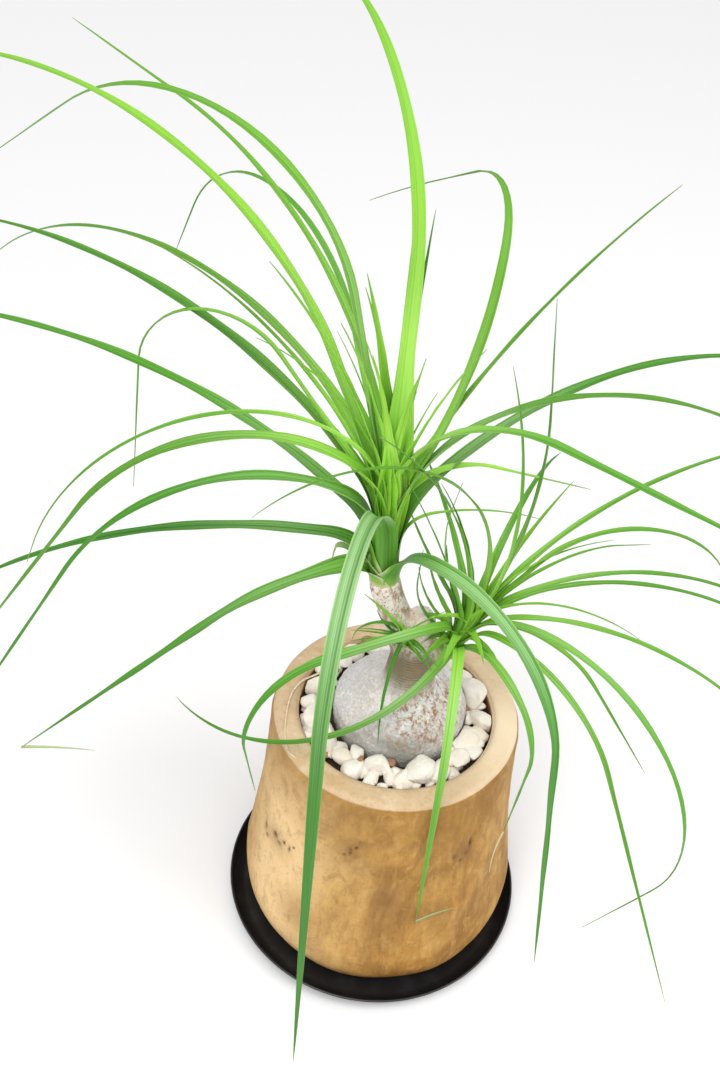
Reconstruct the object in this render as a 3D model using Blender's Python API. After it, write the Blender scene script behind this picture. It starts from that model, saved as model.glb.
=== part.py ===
"""Potted nolina: a swollen grey stem base with two crowns of strap leaves, in a wooden pot on a black saucer.

The origin is on the surface that the saucer stands on, under the pot's axis. -Y faces the viewer.
Lengths are in metres, and angles in degrees where a leaf states them.
"""
from collections import namedtuple
from math import cos, pi, radians, sin
import random

import bmesh
import bpy
from mathutils import Matrix, Vector, noise

# Gap between pieces that touch
FIT = 0.0003

# Saucer: it stands a little nearer to the viewer than the pot's axis
SAUCER_CENTRE = Vector((-0.0015, -0.006, 0))
SAUCER_RADIUS = 0.111
SAUCER_HEIGHT = 0.0122
SAUCER_WALL = 0.0018
SAUCER_FLOOR = 0.0022
SAUCER_FOOT_RADIUS = 0.101
SAUCER_HEEL = Vector((0.0040, 0.0015))
SAUCER_LIP = 0.0010
SAUCER_SLOPE = 0.0020
SAUCER_SIDES = 56

# Pot, turned from one block of wood
POT_HEIGHT = 0.200
RIM_RADIUS = 0.085
BELLY_RADIUS = 0.1015
BELLY_HEIGHT = 0.040
FOOT_RADIUS = 0.092
CAVITY_RADIUS = 0.067
CAVITY_FLOOR = 0.030
CAVITY_CORNER = 0.004
CAVITY_LIP = 0.003
POT_BASE = SAUCER_FLOOR + FIT
FOOT_ROUNDING = 3.2
WALL_FLARE = 1.5
WALL_SWELL = 0.0008
WALL_HEIGHTS = [POT_BASE, 0.004, 0.008, 0.015, 0.026, BELLY_HEIGHT, 0.060, 0.085, 0.110, 0.135, 0.160, 0.182]
# The rim's section: distance in from the rim's edge, and depth below its top
RIM_SECTION = [(-0.0004, 0.0070), (0.0006, 0.0022), (0.0028, 0.0003), (0.0080, 0), (0.0145, 0.0003),
               (0.0170, 0.0012)]
POT_SIDES = 48

# Soil and stones
SOIL_TOP = 0.182
SOIL_EDGE = Vector((0.003, 0.001))
STONE_BED_TOP = 0.1865
STONE_BED_RISE = 0.06
# One stone: bearing round the pot's axis in degrees (0 is +X), distance from the axis, size and height
Stone = namedtuple("Stone", "bearing reach size height")
STONES = [
    Stone(-155, 0.0615, 0.0050, 0.191),
    Stone(-144, 0.0600, 0.0055, 0.191),
    Stone(-126, 0.0545, 0.0074, 0.192),
    Stone(-119, 0.0460, 0.0072, 0.194),
    Stone(-113, 0.0570, 0.0090, 0.193),
    Stone(-101, 0.0590, 0.0065, 0.191),
    Stone(-99, 0.0485, 0.0090, 0.195),
    Stone(-91, 0.0550, 0.0078, 0.192),
    Stone(-84, 0.0500, 0.0055, 0.190),
    Stone(-79, 0.0560, 0.0082, 0.192),
    Stone(-67, 0.0515, 0.0115, 0.195),
    Stone(-53, 0.0560, 0.0085, 0.193),
    Stone(-46, 0.0490, 0.0050, 0.191),
    Stone(-44, 0.0600, 0.0052, 0.191),
    Stone(-35, 0.0565, 0.0082, 0.193),
    Stone(-23, 0.0600, 0.0080, 0.192),
    Stone(-17, 0.0520, 0.0094, 0.194),
    Stone(-8, 0.0600, 0.0078, 0.192),
    Stone(3, 0.0570, 0.0104, 0.194),
    Stone(25, 0.0570, 0.0130, 0.197),
    Stone(46, 0.0610, 0.0084, 0.196),
    Stone(61, 0.0600, 0.0082, 0.195),
    Stone(75, 0.0600, 0.0088, 0.195),
    Stone(90, 0.0605, 0.0082, 0.195),
    Stone(103, 0.0605, 0.0076, 0.196),
    Stone(114, 0.0600, 0.0072, 0.197),
    Stone(125, 0.0605, 0.0078, 0.197),
    Stone(137, 0.0600, 0.0078, 0.196),
    Stone(149, 0.0605, 0.0084, 0.196),
    Stone(166, 0.0590, 0.0084, 0.194),
    Stone(-179, 0.0590, 0.0075, 0.193),
    Stone(-166, 0.0570, 0.0104, 0.194),
    Stone(-146, 0.0540, 0.0120, 0.195),
    Stone(-133, 0.0500, 0.0055, 0.192),
    Stone(-29, 0.0500, 0.0060, 0.192),
    Stone(-59, 0.0500, 0.0050, 0.191),
]
STONE_CORNERS = 14
STONE_LUMPS = (0.92, 1.08)
STONE_FLATNESS = (0.75, 0.90)
STONE_STRETCH = (0.90, 1.15)
STONE_SEED = 7
STONE_CLEARANCE = 0.0012

# Caudex and its hole in the soil
CAUDEX_CENTRE = Vector((0.0018, 0.0045, 0))
CAUDEX_FOOT = 0.150
CAUDEX_RADIUS = 0.0462
NECK_RADIUS = 0.0165
HOLE_RADIUS = 0.0475
HOLE_SIDES = 40
BARK_RELIEF = 0.0006
BARK_GRAIN = 90
BARK_FROM_RADIUS = 0.020
CAUDEX_SIDES = 32
# The neck stands off the base's centre: it moves over between the two heights
NECK_SHIFT = Vector((0.0032, -0.0075, 0))
NECK_SHIFT_HEIGHTS = (0.204, 0.229)
NECK_START = 0.225
NECK_LEAN = Vector((0.05, 0.12))
NECK_SETBACK = 0.003
# Height and radius of each ring, from the foot in the soil to the cut stump
CAUDEX_RINGS = [
    (CAUDEX_FOOT, 0.026), (0.154, 0.033), (0.163, 0.0395), (0.176, 0.0437), (0.190, 0.0455),
    (0.198, CAUDEX_RADIUS),
    (0.206, 0.0452), (0.213, 0.0422), (0.219, 0.0375), (0.2235, 0.0315), (0.227, 0.0252), (0.2305, 0.0202),
    (0.237, 0.0172), (0.244, NECK_RADIUS), (0.251, 0.0158),
    (0.259, 0.0145), (0.270, 0.0130), (0.282, 0.0112), (0.291, 0.0092), (0.296, 0.0060),
]

# Stems, and the growing points that the leaves stand on
MAIN_STEM_LINE = [(0.0040, -0.001, 0.250), (0.0005, -0.001, 0.266), (-0.0060, -0.001, 0.284),
                  (-0.0120, -0.001, 0.300), (-0.0165, -0.001, 0.312)]
MAIN_STEM_RADII = [0.0110, 0.0110, 0.0104, 0.0100, 0.0101, 0.0100, 0.0094]
MAIN_STEM_SIDES = 20
SIDE_STEM_LINE = [(0.0080, -0.002, 0.252), (0.0150, -0.004, 0.260), (0.0215, -0.006, 0.2665)]
SIDE_STEM_RADII = [0.0080, 0.0078, 0.0080, 0.0076, 0.0068]
SIDE_STEM_SIDES = 16
STEM_END = 0.003
MAIN_STEM_TOP = Vector((-0.0185, -0.001, 0.322))
MAIN_CROWN_TOP = Vector((-0.0215, 0, 0.398))
SIDE_STEM_TOP = Vector((0.028, -0.008, 0.276))
SIDE_CROWN_TOP = Vector((0.043, -0.008, 0.306))
SHOOT_FOOT = Vector((-0.0010, -0.0136, 0.280))
SHOOT_TOP = Vector((-0.0020, -0.0146, 0.289))

MAIN_CORE_RADII = [0.0095, 0.0115, 0.0100, 0.0070, 0.0040]
SIDE_CORE_RADII = [0.0070, 0.0072, 0.0050, 0.0030]
SHOOT_CORE_RADII = [0.0022, 0.0028, 0.0018]
CORE_SIDES = 12

# Leaves
BLADE_THICKNESS = 0.0013
BLADE_THINNING = 0.45
BLADE_FOLD = 24
BLADE_ROOT_WIDTH = 0.75
BLADE_BROADENING = 2.5
BLADE_TAPER = 0.7
MAIN_BLADE_STEPS = 11
SIDE_BLADE_STEPS = 9
SHOOT_BLADE_STEPS = 7

# Dry strand: it lies on the rim
STRAND_SIDES = 6
STRAND_RADIUS = 0.0008
STRAND_COURSE = [
    (-0.0530, 0.0235), (-0.0605, 0.0180), (-0.0675, 0.0115), (-0.0722, 0.0020), (-0.0738, -0.0100),
    (-0.0735, -0.0220), (-0.0722, -0.0340), (-0.0700, -0.0445), (-0.0665, -0.0525), (-0.0605, -0.0565),
]

# One leaf. heading is its compass direction at the root (0 is +X, 90 is away from the viewer) and turn
# the change to the tip. It leaves the stem at slope rise and ends at slope hang, and it arches over
# between the two fractions of its length in arch. seat is its root's place along the growing point.
Leaf = namedtuple("Leaf", "heading rise hang arch length width seat turn twist", defaults=(0, 0))

MAIN_LEAVES = [
    Leaf(122, 90, -20, (0.42, 1.0), 0.365, 0.0135, 0.85),
    Leaf(60, 87, 84, (0.2, 1.0), 0.178, 0.006, 0.9),
    Leaf(148, 76, 12, (0.12, 0.75), 0.365, 0.008, 0.8),
    Leaf(165, 66, -18, (0.25, 1.0), 0.420, 0.014, 0.7),
    Leaf(160, 75, -38, (0.3, 0.82), 0.440, 0.011, 0.8),
    Leaf(137, 66, -62, (0.3, 0.85), 0.360, 0.006, 0.8),
    Leaf(168, 52, -12, (0.1, 1.0), 0.350, 0.0125, 0.65),
    Leaf(155, 61, -42, (0.05, 0.95), 0.380, 0.010, 0.75),
    Leaf(150, 56, 5, (0.0, 0.9), 0.230, 0.005, 0.75),
    Leaf(178, 45, -8, (0.1, 1.0), 0.340, 0.013, 0.4),
    Leaf(-155, 75, -70, (0.0, 0.95), 0.290, 0.006, 0.8),
    Leaf(-162, 64, -55, (0.0, 0.6), 0.365, 0.0115, 0.75),
    Leaf(-158, 56, -58, (0.0, 0.65), 0.350, 0.012, 0.55),
    Leaf(-172, 15, -35, (0.0, 0.9), 0.300, 0.0115, 0.35),
    Leaf(-170, -12, -44, (0.0, 0.4), 0.310, 0.013, 0.2),
    Leaf(-99, 52, -88, (0.08, 0.42), 0.555, 0.0125, 0.45, 16),
    Leaf(-15, 70, -30, (0.5, 0.75), 0.340, 0.009, 0.6, 190),
    Leaf(15, 72, 45, (0.0, 1.0), 0.255, 0.0075, 0.65),
    Leaf(-5, 72, -28, (0.1, 0.9), 0.300, 0.012, 0.55),
    Leaf(25, 55, -28, (0.05, 0.95), 0.330, 0.011, 0.5),
    Leaf(-25, 80, -5, (0.05, 0.5), 0.300, 0.010, 0.75),
    Leaf(20, 62, -20, (0.0, 0.5), 0.145, 0.0055, 0.75),
    Leaf(-40, 44, -82, (0.0, 0.5), 0.390, 0.0135, 0.2),
    Leaf(170, 52, -85, (0.35, 0.7), 0.335, 0.006, 0.7),
    Leaf(-150, 84, 66, (0.2, 1.0), 0.120, 0.010, 0.9),
    Leaf(95, 82, 55, (0.2, 1.0), 0.190, 0.011, 0.8),
    Leaf(-70, 84, 62, (0.2, 1.0), 0.110, 0.009, 0.85),
]

SIDE_LEAVES = [
    Leaf(16, 66, 98, (0.0, 0.7), 0.240, 0.0075, 0.8),
    Leaf(-42, 66, 118, (0.0, 1.0), 0.195, 0.006, 0.9),
    Leaf(20, 60, -5, (0.1, 1.0), 0.260, 0.0065, 0.8),
    Leaf(35, 45, -18, (0.0, 0.8), 0.150, 0.004, 0.8),
    Leaf(10, 56, -65, (0.25, 0.85), 0.245, 0.0065, 0.8),
    Leaf(5, 54, -35, (0.0, 0.85), 0.240, 0.0065, 0.8),
    Leaf(-8, 52, -38, (0.1, 1.0), 0.230, 0.0065, 0.7),
    Leaf(-20, 44, -28, (0.0, 0.8), 0.230, 0.006, 0.7),
    Leaf(-40, 35, -60, (0.0, 0.45), 0.315, 0.0065, 0.6),
    Leaf(-38, 54, -112, (0.0, 0.75), 0.385, 0.007, 0.6),
    Leaf(-25, 52, -48, (0.0, 0.6), 0.170, 0.006, 0.6),
    Leaf(-152, 0, -100, (0.45, 0.8), 0.240, 0.010, 0.9, 15),
    Leaf(-125, -50, 0, (0.0, 1.0), 0.245, 0.008, 0.6, -100),
    Leaf(-90, 25, -88, (0.0, 0.4), 0.265, 0.008, 0.4),
    Leaf(-40, 10, -95, (0.0, 0.6), 0.190, 0.008, 0.4),
    Leaf(-150, 82, 40, (0.2, 1.0), 0.190, 0.008, 0.7),
    Leaf(-150, 95, -35, (0.15, 1.0), 0.260, 0.007, 0.8),
    Leaf(-150, 82, 60, (0.2, 1.0), 0.130, 0.007, 0.8),
    Leaf(-155, 72, 62, (0.2, 1.0), 0.140, 0.007, 0.6),
    Leaf(70, 60, -20, (0.0, 0.9), 0.170, 0.007, 0.7),
    Leaf(120, 66, 20, (0.0, 0.9), 0.120, 0.007, 0.7),
    Leaf(40, 70, 45, (0.0, 0.9), 0.110, 0.006, 0.9),
    Leaf(-70, 68, 30, (0.0, 0.9), 0.060, 0.007, 0.9),
]

SHOOT_LEAVES = [
    Leaf(-170, 70, -88, (0.05, 1.0), 0.048, 0.0045, 0.5),
    Leaf(-176, 28, 70, (0.0, 0.9), 0.031, 0.004, 0.4),
    Leaf(-173, 13, 2, (0.0, 0.9), 0.034, 0.003, 0.5),
    Leaf(-168, 10, -12, (0.0, 0.9), 0.035, 0.003, 0.3),
    Leaf(-163, -4, -42, (0.3, 1.0), 0.080, 0.004, 0.1),
    Leaf(-172, 58, 45, (0.0, 0.9), 0.044, 0.0055, 0.9),
    Leaf(-150, 78, 70, (0.0, 0.9), 0.024, 0.004, 0.8),
    Leaf(-12, 56, 48, (0.0, 0.9), 0.040, 0.003, 0.8),
    Leaf(-24, 25, -60, (0.0, 0.8), 0.025, 0.0045, 0.4),
    Leaf(-34, -10, -28, (0.0, 0.8), 0.027, 0.0045, 0.1),
    Leaf(-122, -40, -62, (0.0, 0.3), 0.075, 0.0035, 0.1, 45),
    Leaf(-80, 70, 60, (0.0, 0.8), 0.017, 0.004, 0.8),
]


def leaf_line(leaf, stem, steps):
    """The leaf's centre line: it starts in the growing point and arches over as it goes."""
    low, high = stem
    points = [low.lerp(high, leaf.seat)]
    start, end = leaf.arch
    for i in range(steps):
        along = (i + 0.5) / steps
        bent = min(1, max(0, (along - start) / (end - start)))
        slope = radians(leaf.rise + (leaf.hang - leaf.rise) * bent)
        heading = radians(leaf.heading + leaf.turn * along)
        way = Vector((cos(slope) * cos(heading), cos(slope) * sin(heading), sin(slope)))
        points.append(points[-1] + way * leaf.length / steps)
    return points


def leaf_width(leaf, along):
    """Broad soon after the root, then a long taper to the tip."""
    sheath = min(1, BLADE_ROOT_WIDTH + along * BLADE_BROADENING)
    return leaf.width * sheath * (1 - along) ** BLADE_TAPER


def add_blade(bm, leaf, stem, steps):
    """A folded strap of four-sided section, from the growing point to a fine tip."""
    line = leaf_line(leaf, stem, steps)
    fold = radians(BLADE_FOLD)
    rings = []
    for i in range(steps):
        along = i / steps
        ahead = (line[i + 1] - line[max(0, i - 1)]).normalized()
        heading = radians(leaf.heading + leaf.turn * along)
        across = Vector((-sin(heading), cos(heading), 0))
        across = (across - ahead * across.dot(ahead)).normalized()
        across = Matrix.Rotation(radians(leaf.twist * along), 3, ahead) @ across
        above = ahead.cross(across)
        half = leaf_width(leaf, along) / 2
        lift = above * half * sin(fold)
        spread = across * half * cos(fold)
        thick = above * BLADE_THICKNESS * (1 - BLADE_THINNING * along)
        at = line[i]
        ring = [at + spread + lift, at, at - spread + lift, at - thick]
        rings.append([bm.verts.new(p) for p in ring])
    tip = bm.verts.new(line[-1])
    bm.faces.new((rings[0][0], rings[0][1], rings[0][2]))
    bm.faces.new((rings[0][0], rings[0][2], rings[0][3]))
    for low, high in zip(rings, rings[1:]):
        for k in (0, 2):
            m = k + 1
            bm.faces.new((low[k], high[k], high[m]))
            bm.faces.new((low[k], high[m], low[m]))
        for k in (1, 3):
            m = (k + 1) % 4
            bm.faces.new((low[k], high[k], low[m]))
            bm.faces.new((high[k], high[m], low[m]))
    for k in range(4):
        bm.faces.new((rings[-1][k], tip, rings[-1][(k + 1) % 4]))


def add_tube(bm, line, radii, sides):
    """A closed tube along the line, with its own radius at each point."""
    rings = []
    across = Vector((1, 0, 0))
    for i, at in enumerate(line):
        ahead = (line[min(i + 1, len(line) - 1)] - line[max(0, i - 1)]).normalized()
        across = (across - ahead * across.dot(ahead)).normalized()
        beside = ahead.cross(across)
        ring = []
        for k in range(sides):
            turn = 2 * pi * k / sides
            ring.append(bm.verts.new(at + (across * cos(turn) + beside * sin(turn)) * radii[i]))
        rings.append(ring)
    for low, high in zip(rings, rings[1:]):
        for k in range(sides):
            m = (k + 1) % sides
            bm.faces.new((low[k], low[m], high[m], high[k]))
    bm.faces.new(reversed(rings[0]))
    bm.faces.new(rings[-1])
    return rings


def add_turned(bm, profile, sides, centre=Vector((0, 0, 0))):
    """A turned solid. The profile is a list of (radius, height) that starts and ends on the axis."""
    rings = []
    for radius, height in profile[1:-1]:
        ring = []
        for k in range(sides):
            turn = 2 * pi * k / sides
            ring.append(bm.verts.new(centre + Vector((radius * cos(turn), radius * sin(turn), height))))
        rings.append(ring)
    bottom = bm.verts.new(centre + Vector((0, 0, profile[0][1])))
    top = bm.verts.new(centre + Vector((0, 0, profile[-1][1])))
    for k in range(sides):
        m = (k + 1) % sides
        bm.faces.new((bottom, rings[0][m], rings[0][k]))
        bm.faces.new((top, rings[-1][k], rings[-1][m]))
        for low, high in zip(rings, rings[1:]):
            bm.faces.new((low[k], low[m], high[m], high[k]))


def make_material(name, colour, roughness):
    material = bpy.data.materials.new(name)
    material.use_nodes = True
    shader = material.node_tree.nodes["Principled BSDF"]
    shader.inputs["Base Color"].default_value = (*colour, 1)
    shader.inputs["Roughness"].default_value = roughness
    shader.inputs["Metallic"].default_value = 0
    return material


def make_object(name, bm, material=None):
    """Turns the mesh into an object of its own, with its faces pointing out."""
    bmesh.ops.recalc_face_normals(bm, faces=bm.faces)
    mesh = bpy.data.meshes.new(name)
    bm.to_mesh(mesh)
    bm.free()
    if material:
        mesh.materials.append(material)
    item = bpy.data.objects.new(name, mesh)
    bpy.context.scene.collection.objects.link(item)
    return item


def smooth(item, angle=40):
    item.data.shade_smooth()
    item.data.set_sharp_from_angle(angle=radians(angle))


def apply_boolean(item, operation, other=None, group=None, solver="EXACT"):
    """Cuts, joins or keeps the overlap of the item and another object or a collection of them."""
    step = item.modifiers.new("boolean", "BOOLEAN")
    step.operation = operation
    step.solver = solver
    if group:
        step.operand_type = "COLLECTION"
        step.collection = group
    else:
        step.object = other
    bpy.context.view_layer.update()
    graph = bpy.context.evaluated_depsgraph_get()
    mesh = bpy.data.meshes.new_from_object(item.evaluated_get(graph))
    item.modifiers.clear()
    old = item.data
    item.data = mesh
    mesh.name = item.name
    bpy.data.meshes.remove(old)


def join_all(name, core, pieces, material, solver="EXACT"):
    """Joins the pieces to the core in one union and removes them."""
    group = bpy.data.collections.new(name + "_pieces")
    bpy.context.scene.collection.children.link(group)
    for piece in pieces:
        bpy.context.scene.collection.objects.unlink(piece)
        group.objects.link(piece)
    apply_boolean(core, "UNION", group=group, solver=solver)
    for piece in pieces:
        bpy.data.objects.remove(piece)
    bpy.data.collections.remove(group)
    keep_outer_skin(core)
    core.data.materials.clear()
    core.data.materials.append(material)
    core.name = name
    return core


def keep_outer_skin(item):
    """Fills the hollows that joining sealed and drops loose scraps: only the largest shell stays."""
    bm = bmesh.new()
    bm.from_mesh(item.data)
    left = set(bm.faces)
    shells = []
    while left:
        shell = set()
        edge = [left.pop()]
        while edge:
            face = edge.pop()
            shell.add(face)
            near = {other for side in face.edges for other in side.link_faces if other in left}
            left -= near
            edge.extend(near)
        shells.append(shell)
    shells.sort(key=len)
    for shell in shells[:-1]:
        bmesh.ops.delete(bm, geom=list(shell), context="FACES")
    bmesh.ops.delete(bm, geom=[v for v in bm.verts if not v.link_faces], context="VERTS")
    bm.to_mesh(item.data)
    bm.free()


def remove(item):
    bpy.data.objects.remove(item)


def make_saucer():
    """A thin dish: flat underside, low flared wall and a rounded lip."""
    inner = SAUCER_RADIUS - SAUCER_WALL
    profile = [
        (0, 0),
        (SAUCER_FOOT_RADIUS, 0),
        (SAUCER_FOOT_RADIUS + SAUCER_HEEL.x, SAUCER_HEEL.y),
        (SAUCER_RADIUS - SAUCER_LIP / 2, SAUCER_HEIGHT - SAUCER_LIP),
        (SAUCER_RADIUS, SAUCER_HEIGHT),
        (inner, SAUCER_HEIGHT),
        (inner - SAUCER_SLOPE, SAUCER_HEIGHT - SAUCER_SLOPE),
        (SAUCER_FOOT_RADIUS + SAUCER_LIP, SAUCER_FLOOR),
        (0, SAUCER_FLOOR),
    ]
    bm = bmesh.new()
    add_turned(bm, profile, SAUCER_SIDES, SAUCER_CENTRE)
    item = make_object("saucer", bm, make_material("black_saucer", (0.012, 0.012, 0.014), 0.35))
    smooth(item)


def wall_radius(height):
    """The pot's outer wall: nearly upright below the rim, then flaring to the belly."""
    if height <= BELLY_HEIGHT:
        along = (height - POT_BASE) / (BELLY_HEIGHT - POT_BASE)
        return FOOT_RADIUS + (BELLY_RADIUS - FOOT_RADIUS) * (1 - (1 - along) ** FOOT_ROUNDING)
    along = (height - BELLY_HEIGHT) / (POT_HEIGHT - BELLY_HEIGHT)
    below_rim = RIM_RADIUS + WALL_SWELL
    return below_rim + (BELLY_RADIUS - below_rim) * (1 - along) ** WALL_FLARE


def make_pot():
    """A block of wood with a flat foot, a rounded rim and a plain round cavity."""
    outside = [(wall_radius(height), height) for height in WALL_HEIGHTS]
    rim = [(RIM_RADIUS - inward, POT_HEIGHT - depth) for inward, depth in RIM_SECTION]
    inside = [
        (CAVITY_RADIUS, POT_HEIGHT - CAVITY_LIP),
        (CAVITY_RADIUS, CAVITY_FLOOR + CAVITY_CORNER),
        (CAVITY_RADIUS - CAVITY_CORNER, CAVITY_FLOOR),
    ]
    profile = [(0, POT_BASE)] + outside + rim + inside + [(0, CAVITY_FLOOR)]
    bm = bmesh.new()
    add_turned(bm, profile, POT_SIDES)
    item = make_object("wooden_pot", bm, make_material("turned_wood", (0.55, 0.34, 0.14), 0.55))
    smooth(item)


def make_soil():
    """Soil fills the cavity up to a little below the stones, with a plain hole for the caudex."""
    wall = CAVITY_RADIUS - FIT
    profile = [
        (0, CAVITY_FLOOR + FIT),
        (wall - CAVITY_CORNER, CAVITY_FLOOR + FIT),
        (wall, CAVITY_FLOOR + CAVITY_CORNER + FIT),
        (wall, SOIL_TOP - SOIL_EDGE.y),
        (wall - SOIL_EDGE.x, SOIL_TOP),
        (0, SOIL_TOP),
    ]
    bm = bmesh.new()
    add_turned(bm, profile, POT_SIDES)
    item = make_object("soil", bm)
    hole = bmesh.new()
    floor = CAUDEX_FOOT - FIT
    section = [(0, floor), (HOLE_RADIUS, floor), (HOLE_RADIUS, POT_HEIGHT), (0, POT_HEIGHT)]
    add_turned(hole, section, HOLE_SIDES, CAUDEX_CENTRE)
    cutter = make_object("caudex_hole", hole)
    apply_boolean(item, "DIFFERENCE", cutter)
    remove(cutter)
    item.data.materials.append(make_material("dark_soil", (0.05, 0.035, 0.025), 0.95))


def add_caudex(bm, extra=0.0):
    """Level rings of the swollen base and its neck, up to the cut stump, each with its centre."""
    line = [Vector((0, 0, height)) for height, _ in CAUDEX_RINGS]
    rings = add_tube(bm, line, [radius + extra for _, radius in CAUDEX_RINGS], CAUDEX_SIDES)
    low, high = NECK_SHIFT_HEIGHTS
    centres = []
    for ring, (height, _) in zip(rings, CAUDEX_RINGS):
        above = max(0, height - NECK_START)
        lean = Vector((above * NECK_LEAN.x, min(NECK_SETBACK, above * NECK_LEAN.y), 0))
        shift = CAUDEX_CENTRE + lean + NECK_SHIFT * min(1, max(0, (height - low) / (high - low)))
        for vert in ring:
            vert.co += shift
        centres.append((ring, shift + Vector((0, 0, height))))
    return centres


def stem_end(top, crown_top):
    """The last two points of a stem: it meets the growing point square, with the gap of touching pieces."""
    way = (crown_top - top).normalized()
    return [top - way * STEM_END, top - way * FIT]


def make_stem(name, places, tops, radii, sides):
    bm = bmesh.new()
    line = [Vector(place) for place in places] + stem_end(*tops)
    add_tube(bm, line, radii, sides)
    return make_object(name, bm)


def make_caudex():
    """The grown body: swollen base, ringed neck, cut stump, leaning main stem and side stem."""
    bm = bmesh.new()
    for ring, at in add_caudex(bm):
        if (ring[0].co - at).length < BARK_FROM_RADIUS:
            continue
        for vert in ring:
            out = (vert.co - at).normalized()
            vert.co += out * BARK_RELIEF * noise.noise(vert.co * BARK_GRAIN)
    body = make_object("body", bm)
    main_tops = (MAIN_STEM_TOP, MAIN_CROWN_TOP)
    side_tops = (SIDE_STEM_TOP, SIDE_CROWN_TOP)
    pieces = [
        make_stem("main_stem", MAIN_STEM_LINE, main_tops, MAIN_STEM_RADII, MAIN_STEM_SIDES),
        make_stem("side_stem", SIDE_STEM_LINE, side_tops, SIDE_STEM_RADII, SIDE_STEM_SIDES),
    ]
    bark = make_material("grey_bark", (0.47, 0.44, 0.40), 0.85)
    item = join_all("caudex_and_stems", body, pieces, bark)
    smooth(item)


def make_stone(rng, centre, size):
    """An angular stone: the hull of points on a lumpy, flattened ball."""
    bm = bmesh.new()
    shape = Vector((rng.uniform(*STONE_STRETCH), rng.uniform(*STONE_STRETCH), rng.uniform(*STONE_FLATNESS)))
    for _ in range(STONE_CORNERS):
        way = Vector((rng.gauss(0, 1), rng.gauss(0, 1), rng.gauss(0, 1))).normalized()
        bm.verts.new(way * size * rng.uniform(*STONE_LUMPS) * shape)
    hull = bmesh.ops.convex_hull(bm, input=bm.verts)
    spare = [v for v in hull["geom_interior"] + hull["geom_unused"] if isinstance(v, bmesh.types.BMVert)]
    bmesh.ops.delete(bm, geom=list(set(spare)), context="VERTS")
    turn = Matrix.Rotation(rng.uniform(0, 2 * pi), 3, "Z")
    for vert in bm.verts:
        vert.co = turn @ vert.co + centre
    return make_object("stone", bm)


def make_stones():
    """Stones on a bed of grit that rises to the back, kept clear of the pot's wall and of the caudex."""
    rng = random.Random(STONE_SEED)
    wall = CAVITY_RADIUS - FIT
    bed = bmesh.new()
    low = SOIL_TOP + FIT
    add_turned(bed, [(0, low), (wall, low), (wall, STONE_BED_TOP), (0, STONE_BED_TOP)], POT_SIDES)
    for vert in bed.verts:
        if vert.co.z > low:
            vert.co.z += STONE_BED_RISE * max(0, vert.co.y)
    item = make_object("bed", bed)
    stones = []
    for stone in STONES:
        turn = radians(stone.bearing)
        centre = Vector((stone.reach * cos(turn), stone.reach * sin(turn), stone.height))
        stones.append(make_stone(rng, centre, stone.size))
    item = join_all("pumice_stones", item, stones, make_material("pumice", (0.80, 0.76, 0.68), 0.9))
    ring = bmesh.new()
    floor = low + FIT / 2
    ceiling = POT_HEIGHT * 1.1
    add_turned(ring, [(0, floor), (wall, floor), (wall, ceiling), (0, ceiling)], POT_SIDES)
    keep = make_object("keep", ring)
    apply_boolean(item, "INTERSECT", keep)
    remove(keep)
    around = bmesh.new()
    add_caudex(around, STONE_CLEARANCE)
    cutter = make_object("around", around)
    apply_boolean(item, "DIFFERENCE", cutter)
    remove(cutter)
    keep_outer_skin(item)


def make_crown(name, leaves, stem, core_radii, steps, material):
    """A crown: its leaves joined to a slim growing point."""
    core = bmesh.new()
    low, high = stem
    count = len(core_radii) - 1
    line = [low.lerp(high, i / count) for i in range(count + 1)]
    add_tube(core, line, core_radii, CORE_SIDES)
    body = make_object("core", core)
    blades = []
    for leaf in leaves:
        bm = bmesh.new()
        add_blade(bm, leaf, stem, steps)
        blades.append(make_object("blade", bm))
    item = join_all(name, body, blades, material)
    smooth(item, 60)


def make_strand():
    """One dry leaf, thin as straw, that lies along the rim."""
    bm = bmesh.new()
    height = POT_HEIGHT + FIT + STRAND_RADIUS
    line = [Vector((x, y, height)) for x, y in STRAND_COURSE]
    add_tube(bm, line, [STRAND_RADIUS] * len(line), STRAND_SIDES)
    make_object("dry_strand", bm, make_material("straw", (0.72, 0.62, 0.42), 0.7))


def main():
    for item in list(bpy.data.objects):
        bpy.data.objects.remove(item)
    make_saucer()
    make_pot()
    make_soil()
    make_caudex()
    make_stones()
    green = make_material("main_leaf_green", (0.18, 0.42, 0.07), 0.4)
    main_stem = (MAIN_STEM_TOP, MAIN_CROWN_TOP)
    make_crown("main_crown_leaves", MAIN_LEAVES, main_stem, MAIN_CORE_RADII, MAIN_BLADE_STEPS, green)
    side_green = make_material("side_leaf_green", (0.15, 0.40, 0.06), 0.4)
    side_stem = (SIDE_STEM_TOP, SIDE_CROWN_TOP)
    make_crown("side_crown_leaves", SIDE_LEAVES, side_stem, SIDE_CORE_RADII, SIDE_BLADE_STEPS, side_green)
    shoot_green = make_material("shoot_green", (0.12, 0.36, 0.06), 0.4)
    shoot = (SHOOT_FOOT, SHOOT_TOP)
    make_crown("small_shoot_leaves", SHOOT_LEAVES, shoot, SHOOT_CORE_RADII, SHOOT_BLADE_STEPS, shoot_green)
    make_strand()


main()
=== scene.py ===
"""Looks of the potted nolina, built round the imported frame. Lengths are in metres, leaf angles in degrees."""
from collections import namedtuple
from math import atan2, cos, degrees, exp, pi, radians, sin
import random

import bmesh
import bpy
from mathutils import Matrix, Vector
from mathutils.noise import noise, noise_vector, seed_set, voronoi


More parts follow.
